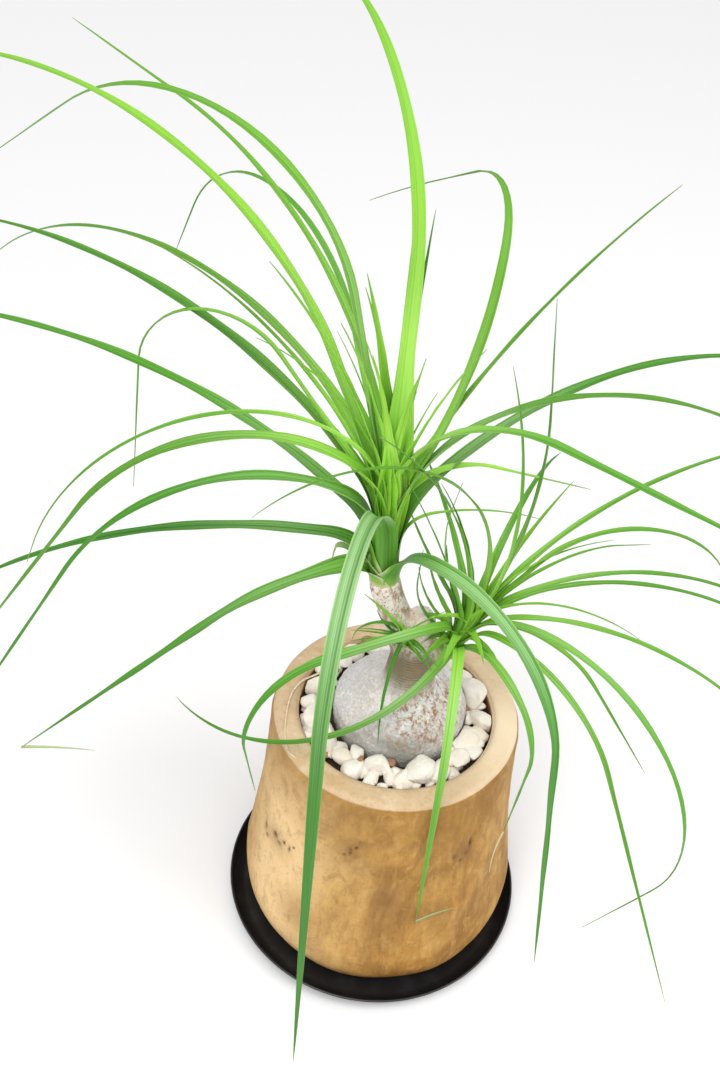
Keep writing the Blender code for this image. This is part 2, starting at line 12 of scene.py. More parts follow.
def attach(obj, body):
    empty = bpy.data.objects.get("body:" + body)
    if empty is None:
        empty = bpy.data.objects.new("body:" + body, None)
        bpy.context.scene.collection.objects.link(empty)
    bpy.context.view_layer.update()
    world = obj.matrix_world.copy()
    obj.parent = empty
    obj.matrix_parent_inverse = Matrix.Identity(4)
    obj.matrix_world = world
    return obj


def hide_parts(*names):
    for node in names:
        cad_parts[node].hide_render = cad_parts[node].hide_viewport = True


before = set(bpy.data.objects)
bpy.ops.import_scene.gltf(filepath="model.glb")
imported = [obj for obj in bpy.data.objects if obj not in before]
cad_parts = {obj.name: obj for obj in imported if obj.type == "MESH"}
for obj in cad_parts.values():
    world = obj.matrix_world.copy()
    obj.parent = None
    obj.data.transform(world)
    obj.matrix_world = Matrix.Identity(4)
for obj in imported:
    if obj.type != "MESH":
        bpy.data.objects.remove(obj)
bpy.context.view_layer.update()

# One seed for everything random. Without seed_set, noise_vector would follow the clock.
SEED = 11
seed_set(SEED)


def table(kind, lengths, rows):
    """The rows as tuples of that kind, with the named lengths turned from millimetres into metres."""
    items = [kind(*row) for row in rows]
    return [item._replace(**{name: getattr(item, name) / 1000 for name in lengths.split()}) for item in items]


# Camera, as the photograph was taken
CAMERA_PLACE = Vector((0, -0.575, 0.859))
CAMERA_PITCH = 41.5
CAMERA_YAW = -3.6
CAMERA_ROLL = 5.5
CAMERA_LENS = 41.667
CAMERA_SENSOR = 36

# Floor and light
FLOOR_REACH = 4
LIGHT_AIM = Vector((0, 0, 0.25))
SKY_STRENGTH = 0.66

# Saucer: the same values as the solid, but for its finer lip
SAUCER_CENTRE = Vector((-0.0015, -0.006, 0))
SAUCER_RADIUS = 0.111
SAUCER_HEIGHT = 0.0122
SAUCER_FLOOR = 0.0022
SAUCER_FOOT_RADIUS = 0.101
SAUCER_LIP = 0.0009
SAUCER_SIDES = 192

# Pot: the same values as the solid, with more rows and sides
POT_BASE = 0.0025
POT_HEIGHT = 0.2
RIM_RADIUS = 0.085
BELLY_RADIUS = 0.1015
BELLY_HEIGHT = 0.04
FOOT_RADIUS = 0.092
FOOT_ROUNDING = 3.2
CAVITY_RADIUS = 0.067
CAVITY_STEP = 0.0024
WALL_FLARE = 1.5
WALL_SWELL = 0.0008
WALL_TOP = 0.1925
WALL_ROWS = 150
WALL_MEAN_RADIUS = 0.095
POT_SIDES = 288
# The rim's section: distance in from the rim's edge, and depth below its top
RIM_SECTION = [
    (0.0001, 0.006), (0.0004, 0.004), (0.0006, 0.0034), (0.0008, 0.0028), (0.0011, 0.0022), (0.0017, 0.0013),
    (0.0029, 0.0005), (0.0046, 0.0001), (0.007, 0), (0.01, 0), (0.013, 0.0001), (0.0155, 0.0005),
    (0.0168, 0.001), (0.0176, 0.0018), (0.018, 0.003),
]
# A spot on the wood: bearing round the pot in degrees, height, width, tallness, and depth or strength
Spot = namedtuple("Spot", "bearing level width tall much")
PITS = table(Spot, "level width tall much", [
    (-151, 106, 3, 5, 1.8), (-148, 101, 2, 2.8, 1.4), (-142, 113, 3.4, 3, 1.8), (-138, 110, 2.6, 2.4, 1.4),
    (-135, 116, 1.8, 2.4, 1), (-131, 115, 1.2, 4.6, 1), (-129, 121, 1.2, 1.8, 0.8), (-101, 149, 1.4, 4.5, 1),
    (-99, 154, 1.2, 2, 0.8), (-97, 161, 1.2, 1.8, 0.7), (-104, 144, 1, 1.6, 0.6), (-45, 146, 1.8, 5.6, 1.2),
    (-47, 137, 1.5, 3.4, 0.9), (-43, 153, 1.2, 2.4, 0.7), (-50, 132, 1, 1.8, 0.6), (-54, 139, 0.9, 1.4, 0.6),
    (70, 120, 2, 4, 1.2), (75, 112, 1.4, 2.6, 0.9), (150, 95, 1.8, 5, 1), (156, 102, 1.2, 2.2, 0.7),
    (10, 85, 1.6, 3.6, 0.9),
])
# Darker stains on the wall. The one on the wall behind a leaf that hangs over it is that leaf's painted shadow.
STAINS_AND_LEAF_SHADOW = table(Spot, "level width tall", [
    (-82, 106, 16, 24, 0.75), (-86, 82, 10, 16, 0.4), (-49, 140, 13, 18, 0.55), (-100, 152, 16, 14, 0.4),
    (-141, 111, 18, 14, 0.45), (-60, 85, 20, 20, 0.3), (-120, 60, 20, 20, 0.25), (75, 115, 22, 30, 0.45),
    (160, 100, 24, 30, 0.45), (15, 90, 20, 26, 0.4),
])
# Where the wood is paler, on the wall and on the rim: bearing and half width in degrees. On the wall's left
# front this is painted light, where the light falls; on the rim's right it is paler sapwood.
PAINTED_LIGHT_ON_WALL = (-140, 30)
SAP_ON_RIM = (-4, 38)
POT_LAYERS = ("top", "pit_shade", "stain_and_shadow", "inside", "sap_and_painted_light")

# Grit on the soil: its inner radius, how far out it and the stones reach, its height and its rise to the back
SOIL_TOP = 0.182
GRIT_INSIDE = 0.034
FILL_RADIUS = CAVITY_RADIUS - 0.0004
GRIT_HEIGHT = 0.1862
GRIT_RISE = 0.06
GRIT_ROWS = 26
GRIT_SIDES = 160

# One stone: bearing round the pot's axis in degrees, distance from the axis, size and height
Stone = namedtuple("Stone", "bearing reach size height")
STONES = table(Stone, "reach size height", [
    (-155, 61.5, 5, 191), (-144, 60, 5.5, 191), (-126, 54.5, 7.4, 192), (-119, 46, 7.2, 194),
    (-113, 57, 9, 193), (-101, 59, 6.5, 191), (-99, 48.5, 9, 195), (-91, 55, 7.8, 192), (-84, 50, 5.5, 190),
    (-79, 56, 8.2, 192), (-67, 51.5, 11.5, 195), (-53, 56, 8.5, 193), (-46, 49, 5, 191), (-44, 60, 5.2, 191),
    (-35, 56.5, 8.2, 193), (-23, 60, 8, 192), (-17, 52, 9.4, 194), (-8, 60, 7.8, 192), (3, 57, 10.4, 194),
    (25, 57, 13, 197), (46, 61, 8.4, 196), (61, 60, 8.2, 195), (75, 60, 8.8, 195), (90, 60.5, 8.2, 195),
    (103, 60.5, 7.6, 196), (114, 60, 7.2, 197), (125, 60.5, 7.8, 197), (137, 60, 7.8, 196),
    (149, 60.5, 8.4, 196), (166, 59, 8.4, 194), (-179, 59, 7.5, 193), (-166, 57, 10.4, 194),
    (-146, 54, 12, 195), (-133, 50, 5.5, 192), (-29, 50, 6, 192), (-59, 50, 5, 191),
])
STONE_CORNERS = 14
STONE_LUMPS = (0.92, 1.08)
STONE_FLATNESS = (0.75, 0.9)
STONE_STRETCH = (0.9, 1.15)
STONE_SEED = 7
STONE_CLEARANCE = 0.0009
STONE_FULLER = 1.08
STONE_BEVEL = 0.25
STONE_ROUNDING = 0.26
BIG_STONE = 0.01
SMALL_STONES = 92
# Middling stones that only the looks have, in the gaps at the right
FILL_STONES = table(Stone, "reach size height", [
    (-40, 51.5, 6, 193.5), (-24, 50, 6.6, 194), (-8, 51, 6.4, 194), (6, 50, 5.6, 194), (38, 54, 6, 195),
    (-15, 60.5, 5.6, 193.5),
])
# Small brown bits among the stones
CHIPS = table(Stone, "reach size height", [
    (-88, 44, 3.8, 195.5), (-47, 54.5, 3.4, 194.5), (116, 60, 6.2, 203.5), (-134, 60, 3.2, 192.5),
    (12, 49, 3.6, 196), (150, 54, 3.4, 199), (-26, 47.5, 3, 195), (-112, 50, 2.6, 196.5),
])

# The caudex's height and radius, its centre, and how far and where its neck stands off that
CAUDEX_RINGS = [
    (0.176, 0.0437), (0.19, 0.0455), (0.198, 0.0462), (0.206, 0.0452), (0.213, 0.0422), (0.219, 0.0375),
    (0.2235, 0.0315), (0.227, 0.0252), (0.2305, 0.0202), (0.237, 0.0172),
]
CAUDEX_CENTRE = Vector((0.0018, 0.0045, 0))
NECK_SHIFT = Vector((0.0032, -0.0075, 0))
NECK_SHIFT_HEIGHTS = (0.204, 0.229)
BARK_VOXEL = 0.00072
BARK_SMOOTHING = 6
NECK_RING_STEP = 0.0021
LEAF_SCAR_STEP = 0.0062
BARK_LAYERS = ("scurf", "rings", "bulb", "painted_low_shade", "scars", "cut")

STUMP_PLACE = Vector((0.0087, 0, 0.286))

# One crown: foot and tip of its growing point, its radius at the foot, the radii of its core, how far along a
# leaf its base reaches, how much young leaves widen near their roots, and the thickness of a blade
Crown = namedtuple("Crown", "foot tip radius core reach flare thickness")
MAIN_CROWN = Crown(Vector((-0.0185, -0.001, 0.322)), Vector((-0.0215, 0, 0.398)), 0.0094,
                   (0.0066, 0.0068, 0.0058, 0.004, 0.0018), 0.042, 1, 0.0008)
SIDE_CROWN = Crown(Vector((0.028, -0.008, 0.276)), Vector((0.043, -0.008, 0.306)), 0.0072,
                   (0.005, 0.0052, 0.004, 0.0018), 0.028, 0.15, 0.0007)
SHOOTS = Crown(Vector((-0.001, -0.0136, 0.28)), Vector((-0.002, -0.0146, 0.289)), 0.0028,
               (0.0018, 0.0022, 0.001), 0.01, 0.4, 0.0006)

# One leaf, with the same values as in the solids. heading is its compass direction at the root (0 is +X, 90
# is away from the viewer) and turn the change to the tip. It leaves the stem at slope rise and ends at slope
# hang, and arches over between the fractions start and end of its length. seat is its root's place along the
# growing point. young is how yellow it is, and bloom how strong its painted sheen is: whitish stripes that
# stand in for the light's sheen where the leaf rises and arches. Both run from 0 to 1.
Leaf = namedtuple("Leaf", "heading rise hang start end length width seat young bloom turn",
                  defaults=(0, 0.3, 0))
MAIN_LEAVES = table(Leaf, "length width", [
    (122, 90, -20, 0.42, 1, 365, 13.5, 0.85, 0.9),
    (60, 87, 84, 0.2, 1, 178, 6, 0.9, 0.2),
    (148, 76, 12, 0.12, 0.75, 365, 8, 0.8, 0.5),
    (165, 66, -18, 0.25, 1, 420, 14, 0.7, 1),
    (160, 75, -38, 0.3, 0.82, 440, 11, 0.8, 0.45, 0.6),
    (137, 66, -62, 0.3, 0.85, 360, 6, 0.8, 0.2),
    (168, 52, -12, 0.1, 1, 350, 12.5, 0.65, 0.15),
    (155, 61, -42, 0.05, 0.95, 380, 10, 0.75, 0.35),
    (150, 56, 5, 0, 0.9, 230, 5, 0.75, 0.5),
    (178, 45, -8, 0.1, 1, 340, 13, 0.4, 0.15, 0.5),
    (-155, 75, -70, 0, 0.95, 290, 6, 0.8, 0.4),
    (-162, 64, -55, 0, 0.6, 365, 11.5, 0.75, 0.3),
    (-158, 56, -58, 0, 0.65, 350, 12, 0.55, 0.05),
    (-172, 15, -35, 0, 0.9, 300, 11.5, 0.35),
    (-170, -12, -44, 0, 0.4, 310, 13, 0.2, 0.1),
    (-99, 52, -88, 0.08, 0.42, 555, 12.5, 0.45, 0.05, 1, 16),
    (-15, 70, -30, 0.5, 0.75, 340, 9, 0.6, 0.45, 0.3, 190),
    (15, 72, 45, 0, 1, 255, 7.5, 0.65, 0.35),
    (-5, 72, -28, 0.1, 0.9, 300, 12, 0.55, 0.25, 0.6),
    (25, 55, -28, 0.05, 0.95, 330, 11, 0.5, 0.1, 0.6),
    (-25, 80, -5, 0.05, 0.5, 300, 10, 0.75, 0.2),
    (20, 62, -20, 0, 0.5, 145, 5.5, 0.75, 0.6),
    (-40, 44, -82, 0, 0.5, 390, 13.5, 0.2, 0, 0.7),
    (170, 52, -85, 0.35, 0.7, 335, 6, 0.7, 0.5),
    (-150, 84, 66, 0.2, 1, 120, 10, 0.9, 1),
    (95, 82, 55, 0.2, 1, 190, 11, 0.8, 0.8),
    (-70, 84, 62, 0.2, 1, 110, 9, 0.85, 1),
])
SIDE_LEAVES = table(Leaf, "length width", [
    (16, 66, 98, 0, 0.7, 240, 7.5, 0.8, 0.2),
    (-42, 66, 118, 0, 1, 195, 6, 0.9, 0.3),
    (20, 60, -5, 0.1, 1, 260, 6.5, 0.8, 0.3),
    (35, 45, -18, 0, 0.8, 150, 4, 0.8, 0.3),
    (10, 56, -65, 0.25, 0.85, 245, 6.5, 0.8, 0.3),
    (5, 54, -35, 0, 0.85, 240, 6.5, 0.8, 0.2),
    (-8, 52, -38, 0.1, 1, 230, 6.5, 0.7, 0.2),
    (-20, 44, -28, 0, 0.8, 230, 6, 0.7, 0.3),
    (-40, 35, -60, 0, 0.45, 315, 6.5, 0.6, 0.3),
    (-38, 54, -112, 0, 0.75, 385, 7, 0.6, 0.2),
    (-25, 52, -48, 0, 0.6, 170, 6, 0.6, 0.3),
    (-152, 0, -100, 0.45, 0.8, 240, 10, 0.9, 0.15, 0.8, 15),
    (-125, -50, 0, 0, 1, 245, 8, 0.6, 0.2, 0.6, -100),
    (-90, 25, -88, 0, 0.4, 265, 8, 0.4, 0.45, 0.4),
    (-40, 10, -95, 0, 0.6, 190, 8, 0.4, 0.2),
    (-150, 82, 40, 0.2, 1, 190, 8, 0.7, 0.2),
    (-150, 95, -35, 0.15, 1, 260, 7, 0.8, 0.3),
    (-150, 82, 60, 0.2, 1, 130, 7, 0.8),
    (-155, 72, 62, 0.2, 1, 140, 7, 0.6, 0.1),
    (70, 60, -20, 0, 0.9, 170, 7, 0.7, 0.1),
    (120, 66, 20, 0, 0.9, 120, 7, 0.7, 0.1),
    (40, 70, 45, 0, 0.9, 110, 6, 0.9, 0.5),
    (-70, 68, 30, 0, 0.9, 60, 7, 0.9, 0.4),
])
SHOOT_LEAVES = table(Leaf, "length width", [
    (-170, 70, -88, 0.05, 1, 48, 4.5, 0.5),
    (-176, 28, 70, 0, 0.9, 31, 4, 0.4),
    (-173, 13, 2, 0, 0.9, 34, 3, 0.5, 0.2),
    (-168, 10, -12, 0, 0.9, 35, 3, 0.3, 0.1),
    (-163, -4, -42, 0.3, 1, 80, 4, 0.1, 0.1),
    (-172, 58, 45, 0, 0.9, 44, 5.5, 0.9, 0.3),
    (-150, 78, 70, 0, 0.9, 24, 4, 0.8, 0.4),
    (-12, 56, 48, 0, 0.9, 40, 3, 0.8, 0.1),
    (-24, 25, -60, 0, 0.8, 25, 4.5, 0.4, 0.1),
    (-34, -10, -28, 0, 0.8, 27, 4.5, 0.1, 0.2),
    (-122, -40, -62, 0, 0.3, 75, 3.5, 0.1, 0, 0.3, 45),
    (-80, 70, 60, 0, 0.8, 17, 4, 0.8, 0.4),
])
# Small leaves that only the looks have: in the main crown, in the side crown and in the shoots
MAIN_EXTRA = table(Leaf, "length width", [
    (165, 66, 8, 0.2, 1, 130, 3, 0.85, 0.5),
    (140, 70, 40, 0.2, 1, 105, 2.6, 0.85, 0.4),
    (35, 76, 60, 0.2, 1, 70, 3, 0.9, 0.3),
    (2, 36, -12, 0, 1, 95, 3, 0.55, 0.4),
    (-150, 86, 80, 0.2, 1, 60, 7, 0.97, 1),
    (30, 84, 78, 0.2, 1, 90, 8, 0.94, 1),
    (100, 86, 70, 0.2, 1, 130, 9, 0.92, 1),
    (-60, 82, 72, 0.2, 1, 85, 8, 0.92, 1),
    (-120, 80, 66, 0.2, 1, 120, 9, 0.86, 1),
    (-20, 76, 60, 0.2, 1, 130, 8.5, 0.84, 0.8),
    (-178, 72, 50, 0.2, 1, 170, 9, 0.82, 0.9),
    (170, 84, 70, 0.3, 1, 135, 12.5, 0.9, 1),
    (-165, 80, 62, 0.2, 1, 125, 12, 0.88, 1),
    (140, 82, 66, 0.2, 1, 140, 12, 0.84, 0.9),
])
SIDE_EXTRA = table(Leaf, "length width", [
    (60, 80, 70, 0.2, 1, 60, 6, 0.95, 0.8),
    (-120, 80, 60, 0.2, 1, 45, 6, 0.95, 0.8),
    (-175, 22, -75, 0, 1, 30, 8, 0.3, 0.3),
    (-140, 30, -70, 0, 1, 32, 8.5, 0.35, 0.4),
    (-110, 38, -50, 0, 1, 34, 8, 0.5, 0.5),
    (165, 40, -40, 0, 1, 40, 7, 0.45, 0.3),
    (-65, 42, -45, 0, 1, 34, 7.5, 0.6, 0.6),
    (-155, 55, -10, 0, 1, 34, 7, 0.75, 0.8),
    (-30, 30, -60, 0, 1, 36, 7, 0.4, 0.3),
    (170, 48, 80, 0, 1, 66, 8, 0.45, 0.5),
    (178, 38, 82, 0, 1, 64, 5.5, 0.35, 0.3),
    (160, 58, 84, 0, 1, 66, 6.5, 0.6, 0.1),
    (162, 52, 66, 0.2, 1, 98, 6.5, 0.7, 0.1),
    (-178, 25, 92, 0, 0.7, 85, 5.5, 0.25),
    (165, 60, 100, 0.2, 0.8, 115, 3.2, 0.75, 0.5),
    (-20, 55, -20, 0.1, 1, 120, 4, 0.8, 0.4),
    (10, 70, 10, 0.1, 1, 110, 3.5, 0.85, 0.5),
])
SHOOT_EXTRA = table(Leaf, "length width", [
    (-35, 10, -30, 0, 1, 32, 3, 0.4, 0.1),
    (-178, 20, -12, 0, 1, 30, 2.4, 0.6, 0.1),
    (-158, 22, -34, 0, 1, 34, 2.8, 0.55, 0.2),
    (5, 45, 20, 0, 1, 30, 3, 0.6, 0.2),
    (-55, 30, -40, 0, 1, 22, 2.8, 0.5, 0.2),
    (-110, 50, 10, 0, 1, 18, 3, 0.7, 0.4),
])
# A short dead leaf at the main crown's foot, bent over at its end
TORN_LEAF = Leaf(-176, 32, -80, 0.66, 0.8, 0.048, 0.0125, 0.08, 0.4)
# Ends that are folded over: the number of the leaf, its end as a leaf of its own, and how dry that is
MAIN_FOLDS = [(14, Leaf(6, 8, -4, 0, 1, 0.052, 0.003, 0), 0.45)]
SIDE_FOLDS = [
    (13, Leaf(25, 22, 0, 0, 1, 0.03, 0.0022, 0), 0.35),
    (14, Leaf(-140, -72, -98, 0, 1, 0.046, 0.0013, 0), 0.85),
]

# How a leaf's base is laid: rings in it, its start under the crown's foot, half its clasp in radians, how
# deep in the foot the inner bases lie, the step from one to the next, its thickness, and the pale part of the
# crown's height
BASE_RINGS = 18
BASE_DROP = 0.0025
BASE_CLASP = 1.9
BASE_DEPTH = 0.48
BASE_STEP = 0.068
BASE_THICKNESS = 0.0003
PALE_PART = 0.32
# Places across a blade, from edge to edge
SECTION = [-1, -0.93, -0.72, -0.5, -0.27, 0, 0.27, 0.5, 0.72, 0.93, 1]
BLADE_LAYERS = ("along", "young", "tone", "edge", "clasp", "dry", "bloom")
CORE_SIDES = 24

# Dry strand on the rim: its course in plan, height and thickest radius
STRAND_COURSE = [
    (-0.053, 0.0235), (-0.0605, 0.018), (-0.0675, 0.0115), (-0.0722, 0.002), (-0.0738, -0.01),
    (-0.0735, -0.022), (-0.0722, -0.034), (-0.07, -0.0445), (-0.0665, -0.0525), (-0.0605, -0.0565),
]
STRAND_HEIGHT = 0.2011
STRAND_RADIUS = 0.0008


# Meshes

def put_all(target, settings):
    for key, value in settings.items():
        setattr(target, key, value)


def link(name, data):
    """An object of that data in the scene. A bmesh is turned into a mesh first, and freed."""
    if isinstance(data, bmesh.types.BMesh):
        mesh = bpy.data.meshes.new(name)
        data.to_mesh(mesh)
        data.free()
        data = mesh
    item = bpy.data.objects.new(name, data)
    bpy.context.scene.collection.objects.link(item)
    return item


def modified(data, kind, **settings):
    """The mesh that a modifier of that kind makes of the data."""
    item = link("raw", data)
    put_all(item.modifiers.new("only", kind), settings)
    mesh = bpy.data.meshes.new_from_object(item.evaluated_get(bpy.context.evaluated_depsgraph_get()))
    bpy.data.objects.remove(item)
    return mesh


def make_object(name, bm, material, node, smooth=180, beside=False):
    """A finished piece of the plant on the one body, in place of the CAD node or beside it. It is shaded flat
    where smooth is 0. Otherwise smooth is the angle from which an edge stays sharp."""
    item = link(name, bm)
    item.data.materials.append(material)
    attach(item, "root")
    if not beside:
        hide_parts(node)
    if smooth:
        item.data.shade_smooth()
    if 0 < smooth < 180:
        item.data.set_sharp_from_angle(angle=radians(smooth))


def float_layers(bm, names):
    return [bm.verts.layers.float.new(name) for name in names]


def polar(turn, radius=1, height=0):
    return Vector((radius * cos(turn), radius * sin(turn), height))


def turns(count):
    return [2 * pi * k / count for k in range(count)]


def around(count):
    """Each number round a ring, with the one after it."""
    return [(k, (k + 1) % count) for k in range(count)]


def add_skin(bm, rings, closed=False):
    """Faces between the rings, and then either from the last to the first or one at each end."""
    for low, high in zip(rings, rings[1:] + (rings[:1] if closed else [])):
        for k, m in around(len(low)):
            bm.faces.new((low[k], low[m], high[m], high[k]))
    if not closed:
        bm.faces.new(reversed(rings[0]))
        bm.faces.new(rings[-1])


def add_turned(bm, profile, sides, shape, closed=False):
    """A turned skin. shape gives the place of a point from its turn, radius and height."""
    rings = [[bm.verts.new(shape(turn, *point)) for turn in turns(sides)] for point in profile]
    add_skin(bm, rings, closed)


def spline(points, per_span):
    """Points of a smooth curve through the given ones."""
    out = []
    for i in range(len(points) - 1):
        a = points[max(0, i - 1)]
        b = points[i]
        c = points[i + 1]
        d = points[min(len(points) - 1, i + 2)]
        for k in range(per_span):
            t = k / per_span
            out.append(0.5 * (2 * b + (c - a) * t + (2 * a - 5 * b + 4 * c - d) * t * t
                              + (3 * b - a - 3 * c + d) * t ** 3))
    out.append(points[-1].copy())
    return out


def add_tube(bm, line, radii, sides):
    rings = []
    across = Vector((1, 0, 0))
    for i, at in enumerate(line):
        ahead = (line[min(i + 1, len(line) - 1)] - line[max(0, i - 1)]).normalized()
        across = (across - ahead * across.dot(ahead)).normalized()
        beside = ahead.cross(across)
        rings.append([bm.verts.new(at + (across * cos(turn) + beside * sin(turn)) * radii[i])
                      for turn in turns(sides)])
    add_skin(bm, rings)
    return rings


def step_up(value, low, high):
    """0 below low, 1 above high and a smooth rise between them."""
    t = min(1, max(0, (value - low) / (high - low)))
    return t * t * (3 - 2 * t)


# Materials

class Shader:
    """A short way to lay out one material's nodes."""

    def __init__(self, name):
        self.material = bpy.data.materials.new(name)
        self.material.use_nodes = True
        self.tree = self.material.node_tree
        self.main = self.tree.nodes["Principled BSDF"]

    def put(self, node, socket, value):
        target = node.inputs[socket]
        if isinstance(value, bpy.types.NodeSocket):
            self.tree.links.new(value, target)
        elif isinstance(value, tuple) and len(value) == 3 and target.type == "RGBA":
            target.default_value = (*value, 1)
        else:
            target.default_value = value

    def add(self, kind, settings=None, **inputs):
        """A node of that kind. An input is named, with _ for a space, or numbered as _0, _1 and so on."""
        node = self.tree.nodes.new("ShaderNode" + kind)
        put_all(node, settings or {})
        for key, value in inputs.items():
            self.put(node, int(key[1:]) if key[1:].isdigit() else key.replace("_", " "), value)
        return node

    def place(self, scale=(1, 1, 1)):
        """Object coordinates, stretched."""
        where = self.add("TexCoord").outputs["Object"]
        return self.add("Mapping", Vector=where, Scale=scale).outputs[0]

    def height(self, where):
        return self.add("SeparateXYZ", Vector=where).outputs[2]

    def noise(self, vector, scale, detail=3, rough=0.5, twist=0):
        return self.add("TexNoise", Vector=vector, Scale=scale, Detail=detail, Roughness=rough,
                        Distortion=twist).outputs[0]

    def cells(self, vector, scale, feature="F1"):
        return self.add("TexVoronoi", {"feature": feature}, Vector=vector, Scale=scale).outputs["Distance"]

    def ramp(self, value, low, high, to_low=0, to_high=1):
        return self.add("MapRange", _0=value, _1=low, _2=high, _3=to_low, _4=to_high).outputs[0]

    def mix(self, factor, a, b):
        return self.add("Mix", {"data_type": "RGBA"}, _0=factor, _6=a, _7=b).outputs[2]

    def math(self, operation, a, b=0):
        return self.add("Math", {"operation": operation}, _0=a, _1=b).outputs[0]

    def times(self, a, b):
        return self.math("MULTIPLY", a, b)

    def attribute(self, name):
        return self.add("Attribute", {"attribute_name": name}).outputs["Fac"]

    def coats(self, colour, *coats):
        """Lays coats over a colour. One is (mask, colour), or (value, low, high, colour), where the mask is 0
        at low and 1 at high. A number after high stands for that 1."""
        for value, *span, coat in coats:
            if span:
                low, high, *most = span
                value = self.ramp(value, low, high, 0, *most)
            colour = self.mix(value, colour, coat)
        return colour

    def relief(self, *bumps):
        """Bumps on top of one another, each with its (height, strength, distance)."""
        normal = None
        for height, strength, distance in bumps:
            node = self.add("Bump", Height=height, Strength=strength, Distance=distance)
            if normal is not None:
                self.put(node, "Normal", normal)
            normal = node.outputs[0]
        return normal

    def finish(self, colour, roughness, normal=None, specular=None):
        sockets = ("Base Color", "Roughness", "Normal", "Specular IOR Level")
        for socket, value in zip(sockets, (colour, roughness, normal, specular)):
            if value is not None:
                self.put(self.main, socket, value)
        return self.material


def leaf_material(name):
    """A strap leaf: fine long veins, pale edges, a pale clasping base, a waxy gloss, and painted sheen: whitish
    stripes on the inner half of the blade in place of the light's sheen.
    """
    s = Shader(name)
    uv = s.add("UVMap", {"uv_map": "blade"}).outputs[0]
    along, young, tone, edge, clasp, dry, bloom = map(s.attribute, BLADE_LAYERS)
    stretched = s.add("Mapping", Vector=uv, Scale=(1, 0.03, 1)).outputs[0]
    veins = s.noise(stretched, 27, 2, 0.6)
    stripes = s.noise(stretched, 9, 2)
    patches = s.noise(uv, 5)
    light = (0.066, 0.28, 0.022)
    pale = s.mix(young, (0.15, 0.43, 0.055), (0.42, 0.78, 0.11))
    deep = s.mix(young, (0.016, 0.105, 0.01), (0.12, 0.4, 0.012))
    outer = s.mix(young, (0.028, 0.17, 0.014), (0.19, 0.48, 0.03))
    # Painted sheen: whitish stripes on the inner half of the blade, standing in for the light's sheen on the
    # arch
    painted_sheen_stripes = s.times(bloom, s.ramp(stripes, 0.36, 0.58, 0.12, 0.75))
    margin = s.times(s.ramp(clasp, 0.02, 0.25), s.ramp(edge, 0.72, 0.98))
    colour = s.coats(
        (0.022, 0.135, 0.012),
        (tone, 0, 1, light),
        (patches, 0.4, 0.66, 0.5, light),
        (young, (0.4, 0.78, 0.07)),
        (stripes, 0.5, 0.66, 0.5, pale),
        (stripes, 0.46, 0.3, 0.7, deep),
        (veins, 0.54, 0.7, 0.45, pale),
        (veins, 0.46, 0.3, 0.45, deep),
        (painted_sheen_stripes, (0.43, 0.64, 0.33)),
        (along, 0.25, 0.6, 0.3, outer),
        (edge, 0.9, 1, 0.6, (0.34, 0.56, 0.12)),
        (clasp, 0.5, 0.95, 0.75, (0.38, 0.5, 0.12)),
        (clasp, 0.84, 0.98, 0.8, (0.6, 0.58, 0.32)),
        (clasp, 0.96, 1, 0.8, (0.3, 0.18, 0.09)),
        (s.times(margin, 0.75), (0.66, 0.68, 0.4)),
        (along, 0.965, 1, 0.8, (0.46, 0.36, 0.14)),
        (dry, (0.78, 0.72, 0.5)))
    relief = s.relief((stripes, 0.5, 0.0009), (veins, 0.4, 0.0004))
    return s.finish(colour, s.ramp(stripes, 0.3, 0.7, 0.38, 0.54), relief, 0.28)


